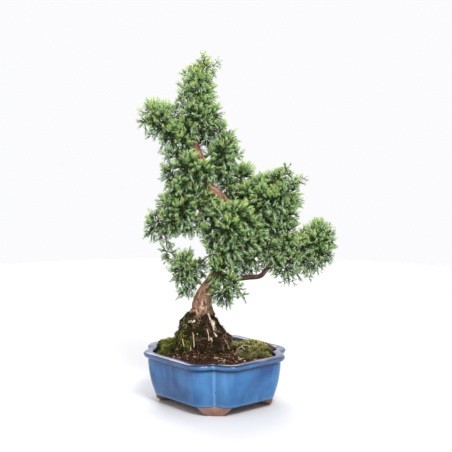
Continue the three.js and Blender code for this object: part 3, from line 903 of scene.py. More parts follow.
    def feet(self) -> Object:
        """Makes the four bracket feet, which follow the corner creases.

        Returns:
            The piece.
        """
        across = np.linspace(-1, 1, 21)
        points, faces = [], []
        for sx, sy in ((1, 1), (-1, 1), (-1, -1), (1, -1)):
            start = len(points)
            out = np.array([sx, sy]) / math.sqrt(2)
            aside = np.array([-out[1], out[0]])
            middle = np.array([sx * (self.length - self.leg), sy * (self.width - self.leg)]) / 2 @ aside
            for depth in (0.0, self.foot_depth):
                for half, height in self.foot_bracket:
                    low = 1 - height / self.foot_bracket[-1][1]
                    plan = self.outline(self.foot_inset + self.foot_tuck * low * low + depth)
                    side = plan @ aside - middle
                    reach = plan @ out
                    close = (np.abs(side) < self.foot_reach) & (reach > 0)
                    order = np.argsort(side[close])
                    for s in across * half:
                        d = float(np.interp(s, side[close][order], reach[close][order]))
                        # The crease is filled low down, as where wet clay was smoothed over it
                        d += (reach.max() - d) * min(1.0, 1.6 * low) * bell(s, 0, 7)
                        points.append([*self.turn((out * d + aside * (middle + s))[None])[0], height])
            faces += self.block_faces(start, len(across), len(self.foot_bracket))
        piece = self.bench.piece("pot_feet", points, faces, [self.finishes["clay"]])
        bevel = piece.modifiers.new("worn_edges", "BEVEL")
        bevel.width = 0.5 * MM
        bevel.segments = 2
        bevel.limit_method = "ANGLE"
        bevel.angle_limit = math.radians(50)
        return settle(piece, "pot_feet")

    def block_faces(self, start: int, columns: int, rows: int) -> list:
        """Faces of a block between an outer and an inner grid of points.

        Args:
            start: Number of the outer grid's first point.
            columns: Points across each grid.
            rows: Points up each grid.

        Returns:
            The faces, pointing outwards.
        """
        inner = columns * rows
        faces = []
        for row in range(rows - 1):
            for column in range(columns - 1):
                a = start + row * columns + column
                faces.append([a, a + 1, a + columns + 1, a + columns])
                faces.append([inner + n for n in (a, a + columns, a + columns + 1, a + 1)])
        low = list(range(columns))
        right = list(range(2 * columns - 1, inner, columns))
        high = list(range(inner - 2, inner - columns - 1, -1))
        left = list(range(inner - 2 * columns, 0, -columns))
        loop = [start + n for n in low + right + high + left]
        for a, b in zip(loop, loop[1:] + loop[:1]):
            faces.append([a, inner + a, inner + b, b])
        return faces

    def dress(self) -> list[Object]:
        """Builds the pot's pieces in place of the plain pot, and finishes the drain mesh.

        Returns:
            The pieces.
        """
        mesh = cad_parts["drain_mesh"].data
        mesh.materials.clear()
        mesh.materials.append(self.finishes["plastic"])
        return [seat(piece, "pot") for piece in (self.body(), self.feet())]


@dataclass
class Wood(Part):
    """Roots, trunk and branches, grown together and covered in stringy bark.

    Attributes:
        voxel: Size of the mesh's grain after the limbs are fused.
        trunk: Trunk as x, y, z and radius from the crown to the tip.
        branches: Branches, each from inside the trunk to its spray.
        crown: Root crown as height, radius and x of its middle.
        ridges: Surface roots as heading in degrees and how far each stands out at the soil.
        ridge_half_width: Half width of a surface root.
        collar: Height above which the wood is clean of earth and moss.
        fine_roots: Thin pale roots over the crown's front, as x and z of their points.
        torn: Strips of bare dead wood as x and z of both ends, half width and paleness.
        soil_edge: Height at which surface roots stand out in full.
        strands: Number of root strands that run down the crown.
        seed: Seed of the root strands.
    """

    voxel: float = 0.95
    trunk: tuple = (
        (-12, 0, 88, 12), (-13, 0, 101, 9.8), (-8, -2, 114, 8.4), (-3, -2, 122, 7.2), (2, 0, 133, 6.4),
        (7, 2, 145, 6.1), (11, 3, 158, 5.9), (14, 3, 172, 5.7), (14, 1, 186, 5.4), (13, -1, 197, 5.3),
        (7, -5, 207, 5.1), (-1, -7, 215, 5.0), (-8, -5, 223, 4.8), (-11, -1, 235, 4.7), (-14, 0, 246, 4.6),
        (-19, 1, 257, 4.4), (-22, 3, 266, 4.0), (-17, 3, 278, 3.6), (-14, 1, 289, 3.1), (-17, 0, 302, 2.6),
        (-17, 0, 314, 2.2), (-14, 0, 327, 1.7), (-11, 0, 340, 1.2),
    )
    branches: tuple = (
        [(2, 0, 131, 3.4), (17, -4, 127, 2.9), (31, -6, 128, 2.8), (45, -6, 129.5, 2.6), (51, -5, 135, 2.4),
         (62, -1, 146, 2.0), (76, 1, 153, 1.8), (89, 2, 157, 1.5), (101, 2, 161, 1.2), (108, 2, 168, 0.9)],
        [(13, 0, 182, 3.0), (-3, -1, 178, 2.3), (-19, 0, 177, 2.1), (-32, 0, 174, 1.9), (-46, 0, 174, 1.5),
         (-57, 1, 181, 1.0)],
        [(5, 1, 149, 1.5), (-5, 0, 149, 1.1), (-14, 0, 144, 1.0), (-25, 0, 139, 0.9), (-30, 0, 132, 0.8)],
        [(13, 2, 171, 2.8), (13, -11, 175, 2.0), (14, -21, 180, 1.6), (17, -23, 188, 1.1)],
        [(1, 0, 132, 2.6), (4, -11, 134, 1.8), (8, -19, 131, 1.5), (9, -22, 120, 1.0)],
        [(13, 0, 187, 3.6), (27, 0, 191, 2.6), (42, 1, 198, 2.2), (57, 1, 205, 1.7), (69, 2, 212, 1.1)],
        [(12, -1, 197, 2.8), (17, 11, 205, 2.0), (23, 21, 213, 1.6), (28, 27, 222, 1.1)],
        [(12, 3, 164, 2.8), (16, 17, 169, 2.0), (23, 29, 176, 1.6), (33, 34, 184, 1.1)],
        [(-9, -2, 232, 2.4), (-16, -8, 237, 1.8), (-27, -11, 240, 1.4), (-38, -8, 243, 1.0)],
        [(-2, -5, 218, 2.6), (-6, 12, 222, 1.9), (-14, 22, 227, 1.5), (-22, 24, 232, 1.0)],
        [(-13, 0, 247, 2.2), (-3, 0, 253, 1.6), (6, -1, 260, 1.3), (11, 0, 266, 0.9)],
        [(-19, 2, 261, 2.4), (-30, -2, 266, 1.8), (-42, -3, 274, 1.4), (-52, -1, 283, 1.2),
         (-59, 0, 290, 0.9)],
        [(-20, 3, 266, 2.0), (-16, 13, 266, 1.5), (-14, 21, 264, 1.0)],
        [(9, -3, 203, 2.2), (-5, -4, 201, 1.5), (-20, -6, 199, 1.2), (-31, -8, 199, 0.9)],
    )
    crown: tuple = (
        (42, 26.5, -12), (57, 25, -12), (68, 22.5, -12), (77, 18.5, -14), (85, 15, -15.5), (90, 12, -15),
        (94, 10, -14), (100, 9.0, -13),
    )
    ridges: tuple = (
        (2, 5.5), (52, 5), (97, 6), (136, 5), (176, 6), (226, 5), (266, 3.5), (308, 6),
    )
    ridge_half_width: float = 3.4
    collar: float = 94
    fine_roots: tuple = (
        [(-33.5, 72), (-32, 66), (-30.5, 61)], [(-22, 75), (-21, 69), (-20.5, 61)],
        [(-24.5, 62), (-24, 57), (-24, 51)], [(-8, 78), (-6.5, 73), (-5.5, 67)],
        [(9, 66), (12, 62), (14, 56)],
    )
    torn: tuple = (
        (-6.5, 92, -4.5, 86, 0.9, 1.0), (-3.5, 84.5, 0, 77, 1.1, 1.0), (-26, 84, -20.5, 85.5, 1.1, 1.0),
        (-9, 106, -8.5, 103.5, 0.8, 0.9), (-14.5, 99, -12, 97, 1.1, 0.5), (-19, 95.5, -18, 92.5, 0.9, 0.5),
        (-4.5, 110, -3, 104, 0.7, 0.5), (-4, 69, -3, 67, 0.9, 0.9), (-1, 75, 1.5, 71, 0.7, 0.9),
        (-13, 104, -12.6, 101, 0.5, 0.8), (-8.5, 99, -8, 95, 0.5, 0.7), (-16.5, 92, -16, 90, 0.6, 0.7),
    )
    soil_edge: float = 48.4
    strands: int = 34
    seed: int = 41

    def crown_point(self, heading: float, height: float, out: float = 0.0) -> np.ndarray:
        """Point on the root crown.

        Args:
            heading: Direction from its middle, in radians.
            height: Height above the ground.
            out: Distance that the point is moved out.

        Returns:
            Its x, y and z.
        """
        heights, radii, middles = np.array(self.crown).T
        plain = float(np.interp(height, heights, radii))
        middle = float(np.interp(height, heights, middles))
        low = share((heights[-1] - height) / (heights[-1] - self.soil_edge))
        low = low * low * (3 - 2 * low)
        relief = 0.0
        for turn_deg, stand in self.ridges:
            turn = heading - math.radians(turn_deg)
            aside = math.atan2(math.sin(turn), math.cos(turn)) * plain / self.ridge_half_width
            relief += stand * low * math.exp(-aside * aside)
        flute = plain * 0.04 * math.sin(9 * heading + height / 14)
        radius = plain + flute + relief + out
        return np.array([middle + radius * math.cos(heading), radius * math.sin(heading), height])

    def sweep(self, course: np.ndarray, sides: int) -> tuple[list, list]:
        """Makes a round limb along a course.

        Args:
            course: Rows of x, y, z and radius.
            sides: Sides of the limb.

        Returns:
            Points and faces.
        """
        path = course[:, :3]
        tangents = np.gradient(path, axis=0)
        tangents /= np.linalg.norm(tangents, axis=1)[:, None]
        normal = np.cross(tangents[0], (0.3, 1.0, 0.1))
        angles = np.arange(sides) / sides * TURN
        rings = []
        for centre, tangent, radius in zip(path, tangents, course[:, 3]):
            normal = normal - tangent * (normal @ tangent)
            normal /= np.linalg.norm(normal)
            other = np.cross(tangent, normal)
            rings.append([centre + radius * (normal * math.cos(a) + other * math.sin(a)) for a in angles])
        return tube(rings)

    def root_strands(self, draw: random.Random) -> list[np.ndarray]:
        """Courses of the root strands that run down the crown into the soil.

        Args:
            draw: Seeded random numbers.

        Returns:
            One course for each strand.
        """
        courses = []
        foot = 43
        for order in range(self.strands):
            heading = (order + draw.random() * 0.8) / self.strands * TURN
            top = draw.uniform(70, 96)
            radius = draw.uniform(0.9, 2.3)
            sway = draw.uniform(0, TURN)
            rows = []
            for height in np.arange(top, foot, -4.0):
                heading += draw.uniform(-0.06, 0.06)
                swell = 0.6 + 0.4 * (top - height) / (top - foot)
                out = radius * (0.15 + 0.35 * math.sin(height / 6 + sway))
                rows.append([*self.crown_point(heading, height, out), radius * swell])
            rows[0][:3] = self.crown_point(heading, top + 2, -radius)
            courses.append(np.array(rows))
        return courses

    def fine_root_courses(self) -> list[np.ndarray]:
        """Courses of the thin pale roots that hang over the crown's front.

        Returns:
            One course for each root.
        """
        courses = []
        turns = np.linspace(math.pi, TURN, 181)
        for root in self.fine_roots:
            rows = []
            for (x, height), out in zip(root, np.linspace(0.6, 2.2, len(root))):
                around = np.array([self.crown_point(turn, height, out) for turn in turns])
                rows.append(around[np.argmin(np.abs(around[:, 0] - x))])
            courses.append(smooth_path(np.array(rows), 1.2))
        return courses

    def fused(self) -> tuple[Object, list[np.ndarray]]:
        """Fuses crown, strands and limbs into one skin.

        Returns:
            The skin without its bark relief, and the courses of all limbs.
        """
        draw = random.Random(self.seed)
        courses = [smooth_path(np.array(limb, float), 2.0) for limb in [self.trunk, *self.branches]]
        strands = [smooth_path(course, 1.5) for course in self.root_strands(draw)]
        headings = np.arange(120) / 120 * TURN
        heights = np.linspace(self.crown[0][0], self.crown[-1][0], 40)
        shells = [tube([[self.crown_point(turn, height) for turn in headings] for height in heights])]
        shells += [self.sweep(course, 20 if course[0, 3] > 5 else 12) for course in courses]
        shells += [self.sweep(course, 8) for course in strands]
        points, faces = [], []
        for shell_points, shell_faces in shells:
            base = len(points)
            points += shell_points
            faces += [tuple(base + n for n in face) for face in shell_faces]
        rough = self.bench.piece("wood_rough", points, faces, [])
        fuse = rough.modifiers.new("fuse", "REMESH")
        fuse.mode = "VOXEL"
        fuse.voxel_size = self.voxel * MM
        rough.modifiers.new("soften", "SMOOTH").iterations = 3
        return settle(rough, "trunk_and_roots"), courses

    def dress(self) -> Object:
        """Builds the wood with its bark relief in place of the plain trunk.

        Returns:
            The piece.
        """
        piece, courses = self.fused()
        mesh = piece.data
        outward = read(mesh.vertices, "normal", 3)
        spots = self.bench.measure(mesh)
        grain, radius = self.grain(spots, courses)
        lift, fissure = self.bark_relief(grain, radius)
        patchy = lumps(spots, 5)
        gnarls, earth, film = self.matting(spots, patchy)
        lift += gnarls
        raised = read(mesh.vertices, "co", 3) + outward * (lift * MM)[:, None]
        mesh.vertices.foreach_set("co", raised.astype(np.float32).ravel())
        mesh.update()
        slim = np.clip((4.2 - radius) / 1.6, 0, 0.86 + 0.5 * patchy).clip(0, 0.97)
        for name, values in {
            "grain": grain, "fissure": fissure, "slim": slim,
            "bare": self.dead_wood(spots, outward, patchy), "earth": earth, "film": film,
        }.items():
            mark(piece, name, values)
        mesh.materials.clear()
        mesh.materials.append(self.finishes["bark"])
        mesh.shade_smooth()
        return seat(piece, "trunk")

    def grain(self, spots: np.ndarray, courses: list[np.ndarray]) -> tuple[np.ndarray, np.ndarray]:
        """Coordinates of the bark's grain: round the nearest limb, and slowly along it.

        Args:
            spots: Points of the skin in millimetres.
            courses: Courses of the limbs.

        Returns:
            Rows of grain coordinates, and the limb's radius at each point.
        """
        table = np.array(self.crown)
        heights = np.arange(self.crown[0][0], 97, 2.0)
        low = np.column_stack([np.interp(heights, table[:, 0], table[:, 2]), np.zeros_like(heights), heights,
                               np.interp(heights, table[:, 0], table[:, 1])])
        rows, directions, alongs = [], [], []
        for course in [low, *courses]:
            step = np.linalg.norm(np.diff(course[:, :3], axis=0), axis=1)
            tangent = np.gradient(course[:, :3], axis=0)
            rows.append(course)
            directions.append(tangent / np.linalg.norm(tangent, axis=1)[:, None])
            alongs.append(np.concatenate([[0], np.cumsum(step)]) + 37 * len(rows))
        rows, directions, alongs = np.vstack(rows), np.vstack(directions), np.concatenate(alongs)
        tree = kdtree.KDTree(len(rows))
        for i, row in enumerate(rows):
            tree.insert(row[:3], i)
        tree.balance()
        nearest = np.array([self.limb_of(tree, rows, spot) for spot in spots])
        offset = spots - rows[nearest, :3]
        tangent = directions[nearest]
        ahead = (offset * tangent).sum(axis=1)
        aside = offset - tangent * ahead[:, None]
        along = alongs[nearest] + ahead
        first = np.cross(tangent, (0.2, 1.0, 0.15))
        first /= np.linalg.norm(first, axis=1)[:, None]
        second = np.cross(tangent, first)
        angle = np.arctan2((aside * second).sum(axis=1), (aside * first).sum(axis=1)) + along / 45
        radius = rows[nearest, 3]
        grain = np.column_stack([radius * np.cos(angle), radius * np.sin(angle), along / 7])
        return grain, radius

    def limb_of(self, tree: kdtree.KDTree, rows: np.ndarray, spot: np.ndarray) -> int:
        """Number of the course row whose limb is nearest to a point of the skin."""
        found = tree.find_n(spot, 12)
        return min(found, key=lambda hit: abs(hit[2] - rows[hit[1], 3]))[1] if spot[2] > 97 else found[0][1]

    def bark_relief(self, grain: np.ndarray, radius: np.ndarray) -> tuple[np.ndarray, np.ndarray]:
        """Relief of stringy bark.

        Args:
            grain: Grain coordinates of each point.
            radius: Limb's radius at each point.

        Returns:
            Height of the relief in millimetres, and depth of the fissures from 0 to 1.
        """
        strips = lumps(grain, 1.7)
        plates = lumps(grain / (4, 4, 2.2) + (0, 0, 9), 1)
        fissure = np.clip((0.45 - 2 * np.abs(strips)) / 0.4, 0, 1)
        size = np.clip(radius * 0.11, 0.26, 0.95)
        lift = size * (0.55 * plates + 0.5 * strips - 0.9 * fissure)
        return lift, fissure * 0.85

    def stand_out(self, spots: np.ndarray) -> np.ndarray:
        """How far each point stands out of the plain root crown.

        Args:
            spots: Points of the skin in millimetres.

        Returns:
            One distance for each point.
        """
        table = np.array(self.crown)
        middle = np.interp(spots[:, 2], table[:, 0], table[:, 2])
        heading = np.arctan2(spots[:, 1], spots[:, 0] - middle)
        reach = np.hypot(spots[:, 1], spots[:, 0] - middle)
        plain = [self.crown_point(turn, height) for turn, height in zip(heading, spots[:, 2])]
        return reach - np.array([math.hypot(p[0] - m, p[1]) for p, m in zip(plain, middle)])

    def matting(self, spots: np.ndarray, patchy: np.ndarray) -> tuple[np.ndarray, np.ndarray, np.ndarray]:
        """Roots, earth and moss that are matted on the root crown.

        Earth covers nearly all below the collar, most between the strands, and moss the left side.

        Args:
            spots: Points of the skin in millimetres.
            patchy: Uneven share for each point.

        Returns:
            Height of the lumps, and how thick earth and moss film are from 0 to 1.
        """
        above = self.collar - spots[:, 2]
        gnarls = np.clip(above / 5, 0, 1) * (2.0 * patchy + 1.1 * lumps(spots, 1.9))
        gap = np.clip((1.9 - self.stand_out(spots)) / 1.6, 0, 1)
        earth = np.clip((above + 5 * patchy) / 4, 0, 1) * (0.74 + 0.4 * gap + 0.5 * patchy)
        left = np.clip((-spots[:, 0] - 9) / 16, 0, 1)
        film = np.clip((above - 1) / 5, 0, 1) * (0.08 + 0.7 * left + 1.2 * patchy)
        return gnarls, np.clip(earth, 0, 0.98), np.clip(film, 0, 0.95)

    def dead_wood(self, spots: np.ndarray, outward: np.ndarray, patchy: np.ndarray) -> np.ndarray:
        """How bare and pale the wood is at its front.

        Args:
            spots: Points of the skin in millimetres.
            outward: Direction out of the wood at each point.
            patchy: Uneven share for each point.

        Returns:
            One number from 0 to 1 for each point.
        """
        bare = np.zeros(len(spots))
        front = outward[:, 1] < 0.1
        plan = spots[:, [0, 2]]
        for x0, z0, x1, z1, wide, strength in self.torn:
            start, run = np.array([x0, z0]), np.array([x1 - x0, z1 - z0])
            along = np.clip((plan - start) @ run / (run @ run), 0, 1)
            away = np.linalg.norm(plan - start - along[:, None] * run, axis=1)
            bare = np.maximum(bare, strength * np.clip((wide - away + 0.8 * patchy) / 0.5, 0, 1) * front)
        return bare


@dataclass
class Ground(Part):
    """Soil with its grit and fibres, and the moss on it.

    Attributes:
        pot: Pot that holds it.
        wood: Wood with the root crown.
        bark: The dressed wood, on which crumbs lie and moss climbs.
        edge: Height of the soil at the wall.
        mound: Rise of the soil at the trunk.
        spread: How far the mound reaches.
        middle: The mound's middle in plan.
        wall: Sides of the soil as inset and height.
        surface_rings: Rings of the soil's top.
        ripple: Height of the soil's gentle waves.
        crumb: Height of its crumbs.
        fibre_count: Loose fibres on the soil.
        crown_fibre_count: Fibres on the root crown.
        cushions: Moss cushions as middle, half lengths, thickness, dryness, bareness of the front
            and seed.
        stalks: Bent dry stalks as points on their way.
        pebbles: Pebbles as x, y, radius and tone.
        moss_inset: Inset that the moss stays inside.
        dome_size: Size of one moss dome.
        seed: Seed of the fibres.
    """

    pot: Pot
    wood: Wood
    bark: Object
    edge: float = 48.4
    mound: float = 15
    spread: float = 31
    middle: tuple = (-12, 0)
    wall: tuple = ((17.8, 15.4), (13.9, 24), (11.3, 40), (11.2, 47.6))
    surface_rings: int = 40
    ripple: float = 0.5
    crumb: float = 1.5
    fibre_count: int = 240
    crown_fibre_count: int = 150
    cushions: dict = field(default_factory=lambda: {
        "moss_left": ((-49, 10), (17, 27), 9.0, 0.1, 1.0, 11),
        "moss_right": ((38, 6), (24, 34), 7.6, 1.3, 0.6, 23),
    })
    stalks: tuple = (
        [(21, -22, 53), (25, -23, 60), (30, -24, 63), (35, -25, 62)],
        [(20, -24, 53), (22, -26, 59), (26, -28, 62), (30, -30, 60)],
    )
    pebbles: tuple = (
        (-43, 0, 2.0, 0.97), (-38, -12, 1.4, 0.93), (36, -17, 2.1, 0.97), (30, -24, 1.7, 0.95),
        (1, -36, 1.6, 0.96), (-20, -34, 1.4, 0.94), (25, -30, 1.5, 0.98), (44, -22, 1.5, 0.95),
        (-30, -22, 1.3, 0.9), (9, -41, 1.3, 0.93),
    )
    moss_inset: float = 12.2
    dome_size: float = 6.3
    seed: int = 5

    def height(self, x: float, y: float) -> float:
        """Height of the soil over a plan point.

        Args:
            x: Its x.
            y: Its y.

        Returns:
            The height without its crumbs.
        """
        away = math.hypot(x - self.middle[0], y - self.middle[1]) / self.spread
        ripple = math.sin(x / 5.3) * math.cos(y / 6.1) + math.sin((x + y) / 8.7)
        return self.edge + self.mound * math.exp(-away * away) + self.ripple * ripple

    def soil(self) -> Object:
        """Makes the soil as one closed body with a crumbly surface.

        Returns:
            The piece.
        """
        rings = [self.pot.ring(inset, height) for inset, height in self.wall]
        for inset in np.linspace(11.6, 56, self.surface_rings):
            ring = self.pot.ring(float(inset), 0)
            for spot in ring:
                rough = noise.noise(Vector((spot[0] / 2.6, spot[1] / 2.6, 3)))
                rough += 0.6 * noise.noise(Vector((spot[0] / 1.3, spot[1] / 1.3, 8)))
                spot[2] = self.height(spot[0], spot[1]) + self.crumb * rough
            rings.append(ring)
        count = len(rings[0])
        points = np.vstack([*rings, rings[0].mean(axis=0)[None], rings[-1].mean(axis=0)[None]])
        bottom, top = len(points) - 2, len(points) - 1
        faces = hoops(len(rings), count)
        last = bottom - count
        for i in range(count):
            j = (i + 1) % count
            faces += [(bottom, j, i), (top, last + i, last + j)]
        return self.bench.piece("soil_bed", points, faces, [self.finishes["soil"]])

    def surface(self, step: float, lift: float) -> Object:
        """Makes an open helper sheet over the soil to scatter crumbs on.

        Args:
            step: Size of its squares.
            lift: Distance above the soil.

        Returns:
            The helper.
        """
        outline = self.pot.turn(self.pot.outline(12.5))
        low, high = outline.min(axis=0), outline.max(axis=0)
        xs = np.arange(low[0], high[0], step)
        ys = np.arange(low[1], high[1], step)
        points = np.array([[x, y, self.height(x, y) + lift] for y in ys for x in xs])
        inside = np.array([self.is_inside(x, y, outline) for x, y, _ in points])
        faces = []
        for row in range(len(ys) - 1):
            for column in range(len(xs) - 1):
                a = row * len(xs) + column
                face = (a, a + 1, a + len(xs) + 1, a + len(xs))
                if all(inside[list(face)]):
                    faces.append(face)
        sheet = self.bench.piece("crumb_sheet", points, faces, [])
        mark(sheet, "cover", np.ones(len(points)))
        return sheet

    def is_inside(self, x: float, y: float, outline: np.ndarray) -> bool:
        """Whether a plan point lies inside an outline.

        Args:
            x: Its x.
            y: Its y.
            outline: Rows of x and y.

        Returns:
            Whether it does.
        """
        ax, ay = outline[:, 0], outline[:, 1]
        bx, by = np.roll(ax, -1), np.roll(ay, -1)
        crosses = ((ay > y) != (by > y)) & (x < (bx - ax) * (y - ay) / (by - ay + 1e-12) + ax)
        return bool(crosses.sum() % 2)

    def scatter(self, tree: NodeTree, given: Node, seed: int) -> tuple[Node, Node]:
        """Adds spots spread over the covered part of a bed, each with a tone of its own.

        Args:
            tree: Geometry tree.
            given: Its input node.
            seed: Seed of the tones.

        Returns:
            The node that spreads the spots and the one that stores their tones.
        """
        add = partial(add_node, tree)
        cover = add("GeometryNodeInputNamedAttribute", {"Name": "cover"})
        density = add("ShaderNodeMath", {
            "operation": "MULTIPLY", 0: cover, 1: given.outputs["Per Square Metre"]})
        spots = add("GeometryNodeDistributePointsOnFaces", {
            "Mesh": given, "Density": density, "Seed": given.outputs["Seed"]})
        tone = add("FunctionNodeRandomValue", {"Seed": seed})
        return spots, add("GeometryNodeStoreNamedAttribute", {
            "Name": "tone", "Geometry": spots, "Value": tone})

    def grit_tree(self) -> NodeTree:
        """Builds the tree that scatters crumbs over a sheet.

        Returns:
            The tree.
        """
        tree, given = start_tree("soil_crumbs", {
            "Float": ("Per Square Metre", "Least Size", "Greatest Size"), "Int": ("Seed",),
            "Material": ("Finish",)})
        add = partial(add_node, tree)
        spots = self.scatter(tree, given, 3)[1]
        spin, uneven = [add("FunctionNodeRandomValue", {
            "data_type": "FLOAT_VECTOR", "Min": least, "Max": most, "Seed": seed})
            for least, most, seed in (
                ((0, 0, 0), (6.3, 6.3, 6.3), 4), ((0.6, 0.6, 0.4), (1.2, 1.0, 0.8), 6))]
        size = add("FunctionNodeRandomValue", {
            "Min": given.outputs["Least Size"], "Max": given.outputs["Greatest Size"], "Seed": 5})
        scale = add("ShaderNodeVectorMath", {"operation": "SCALE", 0: uneven, "Scale": size})
        crumb = add("GeometryNodeMeshIcoSphere", {"Radius": 1.0, "Subdivisions": 1})
        placed = add("GeometryNodeInstanceOnPoints", {
            "Points": spots, "Instance": crumb, "Rotation": spin, "Scale": scale})
        end_tree(tree, placed, given.outputs["Finish"])
        return tree

    def tuft_tree(self) -> NodeTree:
        """Builds the tree that covers a bed with tufts of moss.

        Each tuft is a star of five blades with three faces, and each blade stores its way to the tip.

        Returns:
            The tree.
        """
        tree, given = start_tree("moss_tufts", {
            "Float": ("Per Square Metre", "Blade Length", "Blade Width"), "Int": ("Seed",),
            "Bool": ("Keep Bed",), "Material": ("Finish",)})
        add = partial(add_node, tree)
        spots, toned = self.scatter(tree, given, 12)
        blades = 5
        blade = add("GeometryNodeMeshCone", {
            "fill_type": "NONE", "Vertices": 3, "Side Segments": 1, "Radius Top": 0.0,
            "Radius Bottom": 1.0, "Depth": 1.0})
        parts = add("ShaderNodeSeparateXYZ", {0: add("GeometryNodeInputPosition")})
        tipped = add("GeometryNodeStoreNamedAttribute", {
            "Name": "tip", "Geometry": blade, "Value": parts.outputs["Z"]})
        rosette = add("GeometryNodeMeshCircle", {"Vertices": blades, "Radius": 0.001})
        turn = add("ShaderNodeMath", {
            "operation": "MULTIPLY", 0: add("GeometryNodeInputIndex"), 1: TURN / blades})
        lean = add("ShaderNodeCombineXYZ", {"Y": 0.62, "Z": turn})
        width = given.outputs["Blade Width"]
        size = add("ShaderNodeCombineXYZ", {"X": width, "Y": width, "Z": given.outputs["Blade Length"]})
        star = add("GeometryNodeInstanceOnPoints", {
            "Points": rosette, "Instance": tipped, "Rotation": lean, "Scale": size})
        tilt = add("FunctionNodeRandomValue", {
            "data_type": "FLOAT_VECTOR", "Min": (-0.5, -0.5, 0), "Max": (0.5, 0.5, 6.3), "Seed": 2})
        turned = add("FunctionNodeRotateRotation", {
            "rotation_space": "LOCAL", 0: spots.outputs["Rotation"], 1: tilt})
        grown = add("FunctionNodeRandomValue", {"Min": 0.6, "Max": 1.35, "Seed": 7})
        placed = add("GeometryNodeInstanceOnPoints", {
            "Points": toned, "Instance": add("GeometryNodeRealizeInstances", {0: star}),
            "Rotation": turned, "Scale": grown})
        real = add("GeometryNodeRealizeInstances", {0: placed})
        bed = add("GeometryNodeSwitch", {
            "input_type": "GEOMETRY", "Switch": given.outputs["Keep Bed"], "True": given})
        joined = add("GeometryNodeJoinGeometry", {0: [real, bed]})
        end_tree(tree, joined, given.outputs["Finish"])
        return tree

    def dome(self, x: float, y: float, seed: int) -> tuple[float, float]:
        """How high a moss dome stands at a plan point, and how bright that dome is.

        Args:
            x: Its x.
            y: Its y.
            seed: Seed of the cushion's domes.

        Returns:
            Height and brightness, both from 0 to 1.
        """
        distances, centres = noise.voronoi(Vector((x / self.dome_size, y / self.dome_size, seed)))
        height = math.sqrt(max(0.0, 1 - (distances[0] / 0.7) ** 2))
        return height, share(0.7 + 2.4 * noise.noise(centres[0] * 1.7))

    def cushion(self, name: str, tree: NodeTree) -> Object:
        """Makes a moss cushion with its tufts.

        Args:
            name: CAD node that the cushion stands for.
            tree: Tree that makes the tufts.

        Returns:
            The piece.
        """
        centre, reach, thickness, dryness, bald, seed = self.cushions[name]
        outline = self.pot.turn(self.pot.outline(self.moss_inset))
        # The first ring is the cushion's skirt, sunk in the soil
        rises = [(None, 0.97), *[(math.sqrt(max(0.0, 1 - s**4)), s) for s in np.linspace(1, 0.04, 22)]]
        rings = []
        marks = {"cover": [], "lush": [], "dry": [], "hollow": []}
        for rise, out in rises:
            ring = []
            for angle in np.arange(84) / 84 * TURN:
                way = (math.cos(angle), math.sin(angle))
                wave = 1 + 0.16 * noise.noise(Vector((way[0] * 2.2, way[1] * 2.2, seed)))
                x, y = [middle + half * out * wave * part for middle, half, part in zip(centre, reach, way)]
                x, y = self.pull_inside(x, y, centre, outline)
                height, tone = self.dome(x, y, seed)
                lift = -2.0 if rise is None else thickness * rise * (0.15 + 0.85 * height)
                ring.append([x, y, self.height(x, y) + lift])
                uneven = noise.noise(Vector((x, y, 3)) / 5)
                front = bald * share(1.5 * (centre[1] - y) / reach[1] - 0.1 + uneven)
                cover = 0.0 if rise is None else (1 - 0.4 * front) * (0.08 + 0.92 * height * height)
                marks["cover"].append(cover)
                # Painted light: each dome brighter towards its top
                marks["lush"].append(tone * (0.25 + 0.75 * height))
                worn = noise.noise(Vector((x / 3.6, y / 3.6, seed)))
                marks["dry"].append(share(dryness * (0.4 + 3.2 * worn)))
                # Painted shade down between the domes, and dark bare soil where the front is bald
                marks["hollow"].append(max(0.8 * front, min(0.97, 2.1 * (1 - height))))
            rings.append(ring)
        points, faces = tube(rings)
        bed = self.bench.piece(name + "_bed", points, faces, [self.finishes["moss"]])
        marks |= {"tip": np.full(len(points), 0.25), "tone": np.full(len(points), 0.4)}
        for key, values in marks.items():
            mark(bed, key, values)
        return grow(bed, name + "_tufts", tree, {
            "Per Square Metre": 1.1e6, "Blade Length": 1.7 * MM, "Blade Width": 0.4 * MM, "Seed": seed,
            "Keep Bed": True, "Finish": self.finishes["moss"]})

    def pull_inside(self, x: float, y: float, centre: tuple, outline: np.ndarray) -> tuple[float, float]:
        """Moves a plan point towards a centre until it is inside an outline.

        Args:
            x: Its x.
            y: Its y.
            centre: Plan point inside the outline.
            outline: Rows of x and y.

        Returns:
            The moved point's x and y.
        """
        for _ in range(40):
            if self.is_inside(x, y, outline):
                break
            x += (centre[0] - x) * 0.06
            y += (centre[1] - y) * 0.06
        return x, y

    def loose_fibres(self, draw: random.Random) -> list[tuple]:
        """Courses of the thin fibres that lie on the soil.

        Args:
            draw: Seeded random numbers.

        Returns:
            Course, radius and paleness of each fibre.
        """
        outline = self.pot.turn(self.pot.outline(14))
        courses = []
        for _ in range(self.fibre_count):
            x, y = draw.uniform(-70, 70), draw.uniform(-70, 70)
            heading = draw.uniform(0, TURN)
            bend = draw.uniform(-0.5, 0.5)
            length = draw.randint(5, 12)
            course = []
            for step in range(length):
                if not self.is_inside(x, y, outline):
                    break
                arch = math.sin(step / (length - 1) * math.pi)
                course.append([x, y, self.height(x, y) + 0.3 + arch * draw.uniform(0.3, 1.6)])
                heading += bend + draw.uniform(-0.45, 0.45)
                x += 1.5 * math.cos(heading)
                y += 1.5 * math.sin(heading)
            courses.append((course, draw.uniform(0.13, 0.3), draw.random() ** 3.5))
        return courses

